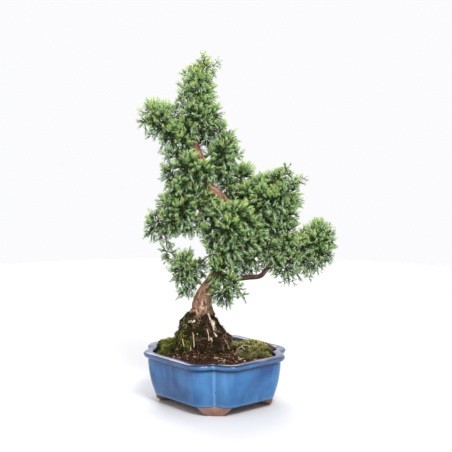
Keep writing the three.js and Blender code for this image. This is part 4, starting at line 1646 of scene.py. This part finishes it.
    def crown_fibres(self, draw: random.Random) -> list[tuple]:
        """Courses of the fine roots that mat the root crown.

        Args:
            draw: Seeded random numbers.

        Returns:
            Course, radius and paleness of each root.
        """
        courses = []
        for _ in range(self.crown_fibre_count):
            heading, height = draw.uniform(0, TURN), 51 + 38 * draw.random() ** 1.7
            way, curl = draw.uniform(0, TURN), draw.uniform(-0.9, 0.9)
            course = []
            for _ in range(draw.randint(4, 9)):
                course.append(self.wood.crown_point(heading, height, 1.3 + draw.uniform(0, 1.2)))
                way += curl + draw.uniform(-0.4, 0.4)
                heading += 1.3 / 20 * math.cos(way)
                height = max(50.0, height + 1.3 * math.sin(way))
            courses.append((course, draw.uniform(0.13, 0.26), 0.7 * draw.random() ** 2.5))
        return courses

    def fibres(self) -> Object:
        """Lays thin root and coir fibres over the soil, and fine roots over the crown.

        Returns:
            The piece.
        """
        draw = random.Random(self.seed)
        courses = [(course, 0.5, 0.95) for course in self.wood.fine_root_courses()]
        courses += [(smooth_path(np.array(stalk, float), 1.5), 0.3, 0.8) for stalk in self.stalks]
        courses += self.loose_fibres(draw)
        courses += self.crown_fibres(draw)
        points, edges, girths, pales = [], [], [], []
        for course, girth, pale in courses:
            add_line(points, edges, course)
            girths += [girth * MM] * len(course)
            pales += [pale] * len(course)
        lines = self.bench.piece("fibre_lines", points, [], [], edges)
        mark(lines, "girth", girths)
        mark(lines, "pale", pales)
        return grow(lines, "soil_fibres", strand_tree(), {"Finish": self.finishes["fibre"]})

    def stones(self) -> Object:
        """Lays the larger pebbles on the soil, each a rough ball half sunk.

        Returns:
            The piece.
        """
        sides, levels = 12, 7
        points, faces, tones = [], [], []
        for x, y, size, tone in self.pebbles:
            middle = np.array([x, y, self.height(x, y) + 0.5])
            rings = []
            for level in range(levels):
                down = math.pi * (level + 0.5) / levels
                ring = []
                for turn in np.arange(sides) / sides * TURN:
                    out = math.sin(down)
                    way = Vector((out * math.cos(turn), out * math.sin(turn), -math.cos(down)))
                    reach = size * (1 + 0.45 * noise.noise(way * 1.3 + Vector((x, y, 0))))
                    ring.append(middle + np.array(way) * reach * (1.2, 1.0, 0.7))
                rings.append(ring)
            start = len(points)
            ball, ball_faces = tube(rings)
            points += ball
            faces += [tuple(start + n for n in face) for face in ball_faces]
            tones += [tone] * len(ball)
        piece = self.bench.piece("soil_pebbles", points, faces, [self.finishes["grit"]])
        mark(piece, "tone", tones)
        return piece

    def bed_on(self, name: str, least: float, most: float) -> Object:
        """Copies the wood as a bed to scatter on.

        Args:
            name: Number stored on it that says where to scatter.
            least: Value of it where the scatter starts.
            most: Value of it where the scatter is full.

        Returns:
            The helper.
        """
        mesh = self.bark.data.copy()
        stored, bare = [read(mesh.attributes[key].data, "value") for key in (name, "bare")]
        bed = put(name + "_bed", mesh)
        mark(bed, "cover", np.clip((stored - least) / (most - least), 0, 1) * (bare < 0.3))
        return bed

    def climbing_moss(self, tree: NodeTree) -> Object:
        """Grows moss tufts on the wood where its moss film is thick.

        Args:
            tree: Tree that makes the tufts.

        Returns:
            The piece.
        """
        bed = self.bed_on("film", 0.35, 0.8)
        spots = self.bench.measure(bed.data)
        patchy = lumps(spots, 6)
        low = np.clip((78 - spots[:, 2]) / 14, 0, 1) * np.clip((-20 - spots[:, 0]) / 10, 0, 1)
        mark(bed, "lush", np.clip(0.3 * low + 0.5 * patchy, 0, 0.5))
        # Dark patches as painted shade, fewer low on the left
        mark(bed, "hollow", np.clip(0.4 - patchy - 0.3 * low, 0, 0.9))
        mark(bed, "dry", np.zeros(len(spots)))
        return grow(bed, "moss_on_roots", tree, {
            "Per Square Metre": 3.2e5, "Blade Length": 1.3 * MM, "Blade Width": 0.38 * MM, "Seed": 2,
            "Keep Bed": False, "Finish": self.finishes["moss"]})

    def dress(self) -> list[Object]:
        """Builds the soil, its crumbs and fibres and the moss.

        Returns:
            The pieces.
        """
        pieces = [seat(self.soil(), "soil")]
        crumbs = self.grit_tree()
        for name, bed, density, most, seed in (
            ("soil_crumbs", self.surface(3, 0.4), 1.7e5, 1.5, 4),
            ("crown_crumbs", self.bed_on("earth", 0.5, 0.6), 7e4, 1.4, 9),
        ):
            pieces.append(seat(grow(bed, name, crumbs, {
                "Per Square Metre": density, "Least Size": 0.5 * MM, "Greatest Size": most * MM,
                "Seed": seed, "Finish": self.finishes["grit"]})))
        pieces += [seat(self.fibres()), seat(self.stones())]
        tufts = self.tuft_tree()
        pieces += [seat(self.cushion(name, tufts), name) for name in self.cushions]
        pieces.append(seat(self.climbing_moss(tufts)))
        return pieces


def strand_tree() -> NodeTree:
    """Builds the tree that gives lines of edges their stored girth.

    Returns:
        The tree.
    """
    tree, given = start_tree("strands", {"Material": ("Finish",)})
    add = partial(add_node, tree)
    line = add("GeometryNodeMeshToCurve", {"Mesh": given})
    girth = add("GeometryNodeInputNamedAttribute", {"Name": "girth"})
    section = add("GeometryNodeCurvePrimitiveCircle", {"Resolution": 4, "Radius": 1.0})
    strand = add("GeometryNodeCurveToMesh", {
        "Fill Caps": True, "Curve": line, "Profile Curve": section, "Scale": girth})
    end_tree(tree, add("GeometryNodeSetShadeSmooth", {0: strand}), given.outputs["Finish"])
    return tree


@dataclass(frozen=True)
class Clump:
    """A tuft of shoots round one point of a spray.

    Attributes:
        centre: Middle of the clump.
        radius: Reach of its shoots.
        start: Where its twig comes from.
    """

    centre: Vector
    radius: float
    start: Vector

    @property
    def outward(self) -> Vector:
        """Direction in which the clump has grown."""
        return (self.centre - self.start).normalized()


@dataclass
class Foliage(Part):
    """Sprays of scale-leaf shoots, one piece for each spray of the frame.

    Attributes:
        sprays: Clumps of each spray as x, y, z and radius, the first nearest to the branch.
        shoots_per_area: Shoots of a clump for each square millimetre of its radius squared.
        leafless: Share of a shoot that is bare, from its root.
        upward: How strongly shoots turn up.
        droop: How strongly those on the underside hang.
        onward: How strongly shoots follow the way that their clump has grown.
        scatter: How unevenly shoots leave their clump.
        girth: Radius of a shoot's twig at its root.
        crowded: Share of a clump's radius within which other clumps' shoots are left out.
        nubs: Side cords of a cord as turn round it, share of its length and their own length in radii.
        nub_width: Radius of a side cord's root in radii of the cord.
        nub_lean: Lean of a side cord in degrees, before the cord's own size is put on it.
        curl: How far a cord curves in, in cord radii.
        seed: Seed of the shoots.
    """

    sprays: dict = field(default_factory=lambda: {
        "foliage_apex": [
            (-14, -3, 324, 9), (-13, 1, 333, 8), (-11, 0, 341, 6), (-4, -1, 337, 5), (-27, 0, 329, 6),
            (-10, 3, 321, 7), (-19, -9, 313, 9), (-30, -1, 310, 7), (-9, 4, 307, 8), (-25, -2, 301, 7),
            (-16, 12, 317, 10), (-15, 14, 304, 9), (-20, -2, 333, 6), (3, -1, 342, 3), (-11, 0, 348, 4),
            (-9, -6, 313, 8), (-12, -7, 325, 7), (-12, -3, 344, 5), (-8, -2, 337, 6), (0, -1, 340, 4),
            (-6, -3, 332, 6), (-20, -6, 325, 7), (-31, 0, 318, 6), (-31, -2, 303, 7), (-26, -3, 308, 7)],
        "foliage_crown": [
            (-19, -6, 291, 12), (-4, -4, 290, 10), (-27, -5, 278, 10), (-8, -11, 280, 8), (-10, 13, 286, 11),
            (-24, 12, 284, 10), (-12, -9, 300, 8), (-13, -12, 290, 8), (-31, -6, 268, 8)],
        "foliage_upper_left": [
            (-50, 1, 290, 10), (-61, 0, 293, 10), (-69, 1, 283, 6), (-53, -5, 280, 10), (-43, -6, 270, 12),
            (-32, -9, 263, 9), (-43, 9, 280, 9), (-39, 4, 293, 6), (-61, -2, 272, 5), (-33, 2, 286, 6),
            (-60, -6, 285, 7), (-52, -6, 288, 7), (-50, -3, 269, 5)],
        "foliage_upper_right": [
            (4, 1, 274, 9), (11, 0, 265, 9), (6, -7, 253, 12), (18, 2, 250, 8), (-1, -9, 241, 9),
            (10, 13, 257, 10), (1, 8, 235, 8), (13, -6, 241, 8), (15, -2, 257, 7), (6, -4, 232, 6)],
        "foliage_mid_left": [
            (-27, -12, 240, 12), (-38, -5, 249, 9), (-42, -3, 234, 10), (-12, -16, 236, 9),
            (-30, -13, 225, 8), (-39, -4, 222, 8), (-20, -14, 228, 8), (-9, -15, 226, 6), (-11, -15, 218, 6),
            (-47, -2, 251, 5), (-49, -2, 238, 5)],
        "foliage_left": [
            (-35, -6, 212, 12), (-48, 0, 202, 9), (-31, -11, 198, 12), (-58, 1, 184, 10), (-44, -4, 187, 11),
            (-25, -9, 185, 9), (-16, -10, 198, 9), (-49, 7, 178, 9), (-37, 9, 202, 10), (-49, 0, 165, 6),
            (-47, 0, 153, 7), (-63, 0, 175, 7), (-34, -3, 179, 7), (-14, -8, 186, 8), (-5, -10, 191, 8),
            (-20, -12, 213, 8), (-40, -8, 177, 6), (-28, -8, 176, 6), (-19, -8, 178, 6), (-8, -9, 180, 6),
            (-52, -2, 172, 7), (-44, -8, 200, 8), (-6, -15, 208, 6), (2, -15, 203, 6), (-13, -14, 208, 7)],
        "foliage_low_left": [
            (-28, 0, 141, 11), (-35, -3, 133, 9), (-17, 4, 136, 7), (-29, 0, 120, 9), (-23, 7, 128, 8),
            (-13, 8, 139, 5), (-38, 0, 144, 6), (-31, -1, 112, 5), (-24, 2, 114, 5), (-14, -3, 141, 5),
            (-13, 2, 131, 4), (-24, -4, 133, 8), (-35, -2, 124, 6), (-46, 0, 146, 5), (-31, -5, 141, 8),
            (-22, -3, 124, 6), (-44, 0, 136, 4)],
        "foliage_centre": [
            (14, -26, 180, 12), (6, -20, 193, 11), (22, -20, 193, 11), (-1, -18, 179, 10), (-1, -16, 162, 9),
            (15, -22, 163, 12), (31, -18, 186, 11), (31, -16, 168, 11), (23, -14, 152, 8), (38, -12, 177, 9),
            (-3, -15, 169, 8), (-2, -15, 153, 7), (7, -21, 152, 8), (22, -24, 172, 9)],
        "foliage_front_low": [
            (6, -20, 137, 10), (14, -24, 128, 9), (7, -22, 116, 10), (20, -18, 119, 8), (11, -22, 107, 6),
            (0, -19, 124, 6), (27, -16, 112, 5), (15, -18, 143, 8), (14, -22, 117, 7), (2, -19, 142, 7)],
        "foliage_right": [
            (47, 8, 218, 11), (62, 4, 225, 10), (74, 4, 214, 10), (56, -4, 206, 13), (69, 0, 199, 12),
            (41, -8, 199, 11), (52, -6, 186, 9), (57, 21, 214, 12), (50, 2, 180, 9), (65, -2, 185, 10),
            (75, -1, 190, 8), (77, 0, 204, 8), (77, 1, 222, 6), (32, -2, 212, 9), (60, 10, 194, 10),
            (70, 2, 232, 6), (71, 2, 238, 4), (84, 1, 224, 5), (88, 1, 227, 3.5), (46, -9, 211, 9),
            (66, -5, 213, 9), (38, 2, 221, 6)],
        "foliage_right_mid": [
            (76, -3, 156, 11), (72, 0, 173, 11), (71, -6, 140, 9), (53, -8, 159, 8), (37, -11, 151, 8),
            (25, 5, 144, 9), (35, 6, 139, 8), (43, 5, 152, 9), (31, 3, 155, 9), (47, 4, 172, 10),
            (57, 2, 165, 10), (82, 0, 145, 8), (84, -2, 164, 8), (64, 4, 150, 8), (66, 3, 137, 6),
            (21, 6, 134, 6), (60, -4, 176, 8), (44, -7, 162, 8), (47, -5, 149, 6), (30, -3, 138, 6),
            (59, -1, 139, 6), (74, -3, 131, 6), (81, -1, 133, 6), (70, 0, 124, 4), (78, -1, 123, 4),
            (67, -7, 156, 9), (76, -7, 147, 8), (52, 1, 145, 6), (40, -2, 162, 7), (56, -6, 150, 7),
            (66, -2, 165, 8), (70, -2, 128, 4), (62, -2, 131, 4), (64, -6, 143, 7), (72, -6, 165, 8),
            (28, -3, 133, 5), (36, -3, 134, 5), (44, -3, 137, 5), (51, -4, 143, 5)],
        "foliage_right_low": [
            (104, 2, 172, 11.5), (108, 0, 159, 10), (95, 2, 146, 10), (104, 14, 156, 10), (113, -4, 170, 7),
            (89, 0, 170, 7), (101, -6, 144, 7), (92, -6, 158, 8), (112, 0, 149, 6), (93, -1, 137, 6),
            (94, 0, 128, 4), (103, -2, 136, 4), (102, -8, 164, 9), (104, -7, 153, 8), (115, 0, 177, 4),
            (96, -7, 150, 7), (87, -4, 150, 7), (116, 0, 164, 6), (107, -3, 147, 6)],
        "foliage_back_right": [
            (27, 28, 226, 13), (21, 24, 212, 10), (34, 27, 209, 11), (12, 18, 231, 9), (11, 14, 243, 8),
            (12, 9, 220, 8), (10, 5, 218, 6), (16, 4, 212, 6), (5, 6, 226, 6)],
        "foliage_back_low": [
            (26, 34, 180, 12), (40, 34, 190, 12), (13, 31, 165, 11), (20, 20, 154, 9)],
        "foliage_back_mid": [
            (-12, 27, 226, 11), (-24, 24, 234, 10), (-26, 24, 206, 12), (-7, 15, 213, 9), (-8, 18, 198, 9)],
        "foliage_back_top": [
            (-10, 20, 267, 10), (-20, 23, 259, 10), (-26, 14, 250, 8)],
    })
    shoots_per_area: float = 0.335
    leafless: float = 0.22
    upward: float = 0.4
    droop: float = 0.12
    onward: float = 0.35
    scatter: float = 0.45
    girth: float = 0.34
    crowded: float = 0.55
    nubs: tuple = ((0.2, 0.1, 6.4), (2.6, 0.24, 5.9), (-1.7, 0.38, 5.2), (0.9, 0.52, 4.4), (3.4, 0.66, 3.4))
    nub_width: float = 0.86
    nub_lean: float = 83.6
    curl: float = 2.6
    seed: int = 76

    def clumps(self, spray: str) -> list[Clump]:
        """Clumps of a spray, each joined by its twig to the nearest one before it.

        Args:
            spray: Spray's name.

        Returns:
            The clumps in order.
        """
        made: list[Clump] = []
        for x, y, z, radius in self.sprays[spray]:
            centre = Vector((x, y, z))
            if made:
                start = min(made, key=lambda other: (other.centre - centre).length).centre
            else:
                start = centre - Vector((0, 0, radius * 0.8))
            made.append(Clump(centre, radius, start))
        return made

    def shoot(self, clump: Clump, direction: Vector, draw: random.Random) -> tuple[list[Vector], float]:
        """Course of one shoot from inside a clump outwards.

        Args:
            clump: Clump that the shoot belongs to.
            direction: Direction in which it leaves the clump's middle.
            draw: Seeded random numbers.

        Returns:
            Points of the course, and how hanging it is from 0 to 1.
        """
        drift = Vector([draw.uniform(-1, 1) for _ in range(3)])
        hanging = share((-direction.z - 0.2) / 0.5)
        lift = Vector((0, 0, self.upward * (1 - hanging) - self.droop * hanging))
        aim = (direction + clump.outward * self.onward + drift * self.scatter + lift).normalized()
        root = clump.centre + drift * clump.radius * 0.2 + direction * clump.radius * 0.1
        reach = clump.radius * draw.uniform(0.66, 1.05) * (1 + 0.35 * hanging)
        waist = root + (aim - lift * 0.6).normalized() * reach * 0.5
        tip = root + aim * reach
        steps = [i / 3 for i in range(4)]
        return [root * (1 - t) ** 2 + waist * 2 * t * (1 - t) + tip * t * t for t in steps], hanging

    def skeleton(self, spray: str) -> Object:
        """Lines of all twigs and shoots of a spray, with what each point carries.

        Args:
            spray: Spray's name.

        Returns:
            Helper piece of edges.
        """
        draw = random.Random(self.seed + sum(map(ord, spray)))
        everyone = [clump for name in self.sprays for clump in self.clumps(name)]
        points, edges, rows = [], [], []
        for clump in self.clumps(spray):
            twig = [clump.start.lerp(clump.centre, i / 2) for i in range(3)]
            add_line(points, edges, twig)
            rows += [(0.065 * clump.radius * MM, 0.0, 0.0, 1.0, 1.0, 0.0)] * len(twig)
            count = round(clump.radius**2 * self.shoots_per_area) + 2
            phase = draw.uniform(0, TURN)
            for i in range(count):
                height = 1 - (2 * i + 1) / count
                flat = math.sqrt(1 - height * height)
                angle = phase + i * GOLDEN_TURN
                direction = Vector((flat * math.cos(angle), flat * math.sin(angle), height))
                course, hanging = self.shoot(clump, direction, draw)
                tip = course[-1]
                if self.is_crowded(tip, clump, everyone):
                    continue
                top = share((tip - clump.centre).z / clump.radius * 0.5 + 0.6)
                high = share((tip.z - 285) / 20)
                sunny = min(1.0, top * draw.uniform(0.1, 0.8) * (1 + max(0.0, tip.z - 300) / 50))
                vigour = draw.uniform(0.8, 1.2) * max(0.6, min(1.1, clump.radius / 8.5))
                add_line(points, edges, course)
                for way in [step / (len(course) - 1) for step in range(len(course))]:
                    leafy = 1.0 if way >= self.leafless else 0.55
                    # Painted shade deep in each shoot, lessened near the apex where more light falls
                    buried = (1 - way) * (1 - 0.3 * high)
                    rows.append((self.girth * (1 - 0.4 * way) * MM, leafy, sunny, buried, vigour, hanging))
        lines = self.bench.piece(spray + "_lines", points, [], [], edges)
        names = ("girth", "leafy", "sunny", "buried", "vigour", "hanging")
        for name, values in zip(names, np.array(rows).T):
            mark(lines, name, values)
        return lines

    def is_crowded(self, tip: Vector, clump: Clump, everyone: list[Clump]) -> bool:
        """Whether a shoot's tip would be buried in another clump."""
        return any((other.centre - tip).length < other.radius * self.crowded
                   for other in everyone if other.centre != clump.centre)

    def cord(self, tree: NodeTree) -> Node:
        """Adds the model of one leafy cord, of length 1 and radius 1, with its side scales.

        Args:
            tree: Geometry tree.

        Returns:
            The node that gives the cord.
        """
        add = partial(add_node, tree)
        core, scale = [add("GeometryNodeMeshCone", {
            "fill_type": "NONE", "Vertices": 3, "Side Segments": segments, "Radius Top": 0.0,
            "Radius Bottom": 1.0, "Depth": 1.0}) for segments in (3, 1)]
        place = add("GeometryNodeInputPosition")
        along = add("ShaderNodeSeparateXYZ", {0: place}).outputs["Z"]
        swell = add("ShaderNodeMath", {"operation": "MULTIPLY_ADD", 0: along, 1: 2.1, 2: 0.8})
        blunt, squared = [add("ShaderNodeMath", {"operation": "POWER", 0: along, 1: power})
                          for power in (0.5, 2.0)]
        wide = add("ShaderNodeVectorMath", {"operation": "SCALE", 0: place, "Scale": swell})
        spread = add("ShaderNodeSeparateXYZ", {0: wide})
        club = add("ShaderNodeCombineXYZ", {
            "X": spread.outputs["X"], "Y": spread.outputs["Y"], "Z": blunt})
        formed = add("GeometryNodeSetPosition", {"Geometry": core, "Position": club})
        nubs = [add("GeometryNodeTransform", {
            "Translation": (0, 0, height), "Rotation": (0, math.radians(self.nub_lean), turn),
            "Scale": (self.nub_width / 9, self.nub_width, length), "Geometry": scale})
            for turn, height, length in self.nubs]
        joined = add("GeometryNodeJoinGeometry", {0: [formed, *nubs]})
        inward = add("ShaderNodeMath", {"operation": "MULTIPLY", 0: squared, 1: -self.curl})
        bend = add("ShaderNodeCombineXYZ", {"X": inward})
        bent = add("GeometryNodeSetPosition", {"Geometry": joined, "Offset": bend})
        return add("GeometryNodeStoreNamedAttribute", {"Name": "tip", "Geometry": bent, "Value": along})

    def spray_tree(self) -> NodeTree:
        """Builds the tree that turns a skeleton into twigs set with scale-leaf cords.

        Returns:
            The tree.
        """
        tree, given = start_tree("juniper_spray", {
            "Float": ("Cord Spacing", "Cord Length", "Tip Cord Length", "Cord Radius", "Spread"),
            "Int": ("Seed",), "Material": ("Leaf", "Twig")})
        add = partial(add_node, tree)
        girth, leafy, way, sunny, buried, vigour, hanging, tip = [
            add("GeometryNodeInputNamedAttribute", {"Name": name})
            for name in ("girth", "leafy", "way", "sunny", "buried", "vigour", "hanging", "tip")]
        line = add("GeometryNodeMeshToCurve", {"Mesh": given})
        section = add("GeometryNodeCurvePrimitiveCircle", {"Resolution": 3, "Radius": 1.0})
        twig = add("GeometryNodeCurveToMesh", {
            "Fill Caps": True, "Curve": line, "Profile Curve": section, "Scale": girth})
        twigs = add("GeometryNodeSetMaterial", {"Geometry": twig, "Material": given.outputs["Twig"]})

        # Spots for the cords, all along the leafy part of each shoot
        fine = add("GeometryNodeResampleCurve", {
            "mode": "LENGTH", "Curve": line, "Length": given.outputs["Cord Spacing"]})
        passed = add("GeometryNodeSplineParameter").outputs["Factor"]
        measured = add("GeometryNodeStoreNamedAttribute", {
            "Name": "way", "Geometry": fine, "Value": passed})
        spots = add("GeometryNodeCurveToPoints", {"mode": "EVALUATED", "Curve": measured})
        bare = add("ShaderNodeMath", {"operation": "LESS_THAN", 0: leafy, 1: 0.6})
        bearing = add("GeometryNodeDeleteGeometry", {"domain": "POINT", 0: spots, "Selection": bare})
        tint = add("FunctionNodeRandomValue", {"Seed": 21})
        tinted = add("GeometryNodeStoreNamedAttribute", {
            "Name": "tint", "Geometry": bearing, "Value": tint})

        # Each cord turns by the golden angle and leans out, less so near the tip or where it hangs
        loose = add("FunctionNodeRandomValue", {"Min": -0.5, "Max": 0.5, "Seed": given.outputs["Seed"]})
        order = add("GeometryNodeInputIndex")
        turn = add("ShaderNodeMath", {"operation": "MULTIPLY_ADD", 0: order, 1: GOLDEN_TURN, 2: loose})
        fan = add("ShaderNodeMapRange", {
            "Value": way, "From Min": self.leafless, "From Max": 0.98, "To Min": 1.0, "To Max": 0.62})
        leader = add("ShaderNodeMath", {"operation": "LESS_THAN", 0: way, 1: 0.995})
        drawn_in = add("ShaderNodeMapRange", {"Value": hanging, "To Min": 1.0, "To Max": 0.62})
        tilt = fan
        for less in (leader, drawn_in, given.outputs["Spread"]):
            tilt = add("ShaderNodeMath", {"operation": "MULTIPLY", 0: tilt, 1: less})
        facing = spots.outputs["Rotation"]
        for axis, angle in (("Z", turn), ("Y", tilt)):
            facing = add("FunctionNodeRotateRotation", {
                "rotation_space": "LOCAL", 0: facing,
                1: add("ShaderNodeCombineXYZ", {axis: angle})})

        # Cords shorten towards the tip, unevenly
        length = add("ShaderNodeMapRange", {
            "Value": way, "From Min": self.leafless, "From Max": 1.0,
            "To Min": given.outputs["Cord Length"], "To Max": given.outputs["Tip Cord Length"]})
        uneven = add("FunctionNodeRandomValue", {"Min": 0.7, "Max": 1.22, "Seed": 9})
        for more in (uneven, vigour):
            length = add("ShaderNodeMath", {"operation": "MULTIPLY", 0: length, 1: more})
        radius = given.outputs["Cord Radius"]
        size = add("ShaderNodeCombineXYZ", {"X": radius, "Y": radius, "Z": length})
        placed = add("GeometryNodeInstanceOnPoints", {
            "Points": tinted, "Instance": self.cord(tree), "Rotation": facing, "Scale": size})
        real = add("GeometryNodeRealizeInstances", {0: placed})

        # What the leaf finish reads: new growth on sunny tips, shade deep inside
        fresh = add("ShaderNodeMath", {"operation": "MULTIPLY_ADD", 0: tip, 1: 0.7, 2: 0.3})
        outer = add("ShaderNodeMath", {"operation": "MULTIPLY", 0: way, 1: sunny})
        fresh = add("ShaderNodeMath", {"operation": "MULTIPLY", 0: outer, 1: fresh})
        shade = add("ShaderNodeMapRange", {
            "Value": buried, "From Min": 0.15, "From Max": 0.68, "To Min": 0.0, "To Max": 0.97})
        leaves = real
        for name, value in (("young", fresh), ("inner", shade)):
            leaves = add("GeometryNodeStoreNamedAttribute", {
                "Name": name, "Geometry": leaves, "Value": value})
        smooth = add("GeometryNodeSetShadeSmooth", {0: leaves})
        dressed = add("GeometryNodeSetMaterial", {
            "Geometry": smooth, "Material": given.outputs["Leaf"]})
        joined = add("GeometryNodeJoinGeometry", {0: [dressed, twigs]})
        add("NodeGroupOutput", {"Geometry": joined})
        return tree

    def dress(self) -> list[Object]:
        """Grows each spray in place of its plain node.

        Returns:
            The pieces.
        """
        tree = self.spray_tree()
        pieces = []
        for order, spray in enumerate(self.sprays):
            piece = grow(self.skeleton(spray), spray.replace("foliage", "juniper"), tree, {
                "Cord Spacing": 1.9 * MM, "Cord Length": 6.6 * MM, "Tip Cord Length": 4.6 * MM,
                "Cord Radius": 0.39 * MM, "Spread": math.radians(48), "Seed": order,
                "Leaf": self.finishes["leaf"], "Twig": self.finishes["twig"]})
            pieces.append(seat(piece, spray))
        return pieces


@dataclass
class Studio(Part):
    """Pale floor, soft lights and the camera at the photograph's angle.

    Attributes:
        reach: Radius of the floor.
        eye: Camera's place.
        pitch: Degrees that it looks down.
        lens: Focal length for a 36 mm sensor.
        lamps: Name, place, aim, size and power of each soft light.
    """

    reach: float = 1000
    eye: tuple = (11.15, -1093, 308.4)
    pitch: float = 6.73
    lens: float = 87.3
    lamps: tuple = (
        ("key_softbox", (330, -1000, 1150), (0, 0, 170), 480, 24.0),
        ("fill_softbox", (-950, -700, 800), (0, 0, 170), 900, 1.6),
        ("back_softbox", (-200, 900, 1000), (0, 150, 100), 900, 11.0),
    )

    def floor(self) -> Object:
        """Lays the round floor.

        Returns:
            The floor.
        """
        turns = np.linspace(0, TURN, 96, endpoint=False)
        rim = self.reach * np.column_stack([np.cos(turns), np.sin(turns), np.zeros(len(turns))])
        sheet = self.bench.piece("studio_floor", rim, [range(len(turns))], [self.finishes["paper"]])
        return sheet

    def build(self) -> None:
        """Builds the floor, lights, surroundings and camera."""
        scene = bpy.context.scene
        scene.view_settings.view_transform = "Standard"
        self.floor()
        world = bpy.data.worlds.new("studio_air")
        world.use_nodes = True
        backdrop = world.node_tree.nodes["Background"]
        backdrop.inputs["Color"].default_value = linear("#f9f9fb")
        backdrop.inputs["Strength"].default_value = 1.02
        scene.world = world
        for name, spot, aim, size, power in self.lamps:
            light = bpy.data.lights.new(name, "AREA")
            light.shape = "SQUARE"
            light.size = size * MM
            light.energy = power
            lamp = put(name, light)
            lamp.location = Vector(self.bench.place(spot))
            way = Vector(self.bench.place(aim)) - lamp.location
            lamp.rotation_euler = way.to_track_quat("-Z", "Y").to_euler()
        view = bpy.data.cameras.new("front_camera")
        view.lens = self.lens
        view.sensor_width = 36
        view.clip_end = 20
        scene.camera = put("front_camera", view)
        scene.camera.location = Vector(self.bench.place(self.eye))
        scene.camera.rotation_euler = (math.radians(90 - self.pitch), 0, 0)


def triangles(piece: Object) -> int:
    """Number of triangles in a piece's mesh."""
    return sum(len(face.vertices) - 2 for face in piece.data.polygons)


def main() -> None:
    """Builds the bonsai's looks over the frame and reports each piece."""
    logging.basicConfig(level=logging.INFO, format="%(name)s: %(message)s")
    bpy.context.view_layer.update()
    low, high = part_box("pot")
    bench = Bench(Vector(((low.x + high.x) / 2, (low.y + high.y) / 2, 0)))
    finishes = {slot: finish.build() for slot, finish in {
        "glaze": BlueGlaze(), "clay": BareClay(), "plastic": DrainPlastic(), "bark": FibrousBark(),
        "soil": DampSoil(), "grit": Grit(), "fibre": RootFibre(), "moss": CushionMoss(),
        "leaf": ScaleLeaf(), "twig": YoungTwig(), "paper": StudioPaper(),
    }.items()}
    pot = Pot(bench, finishes)
    wood = Wood(bench, finishes)
    pieces = pot.dress()
    bark = wood.dress()
    pieces.append(bark)
    pieces += Ground(bench, finishes, pot, wood, bark).dress()
    pieces += Foliage(bench, finishes).dress()
    Studio(bench, finishes).build()
    for piece in pieces:
        LOG.info("%s: %d triangles", piece.name, triangles(piece))
    LOG.info("all pieces: %d triangles", sum(map(triangles, pieces)))


if __name__ == "__main__":
    main()
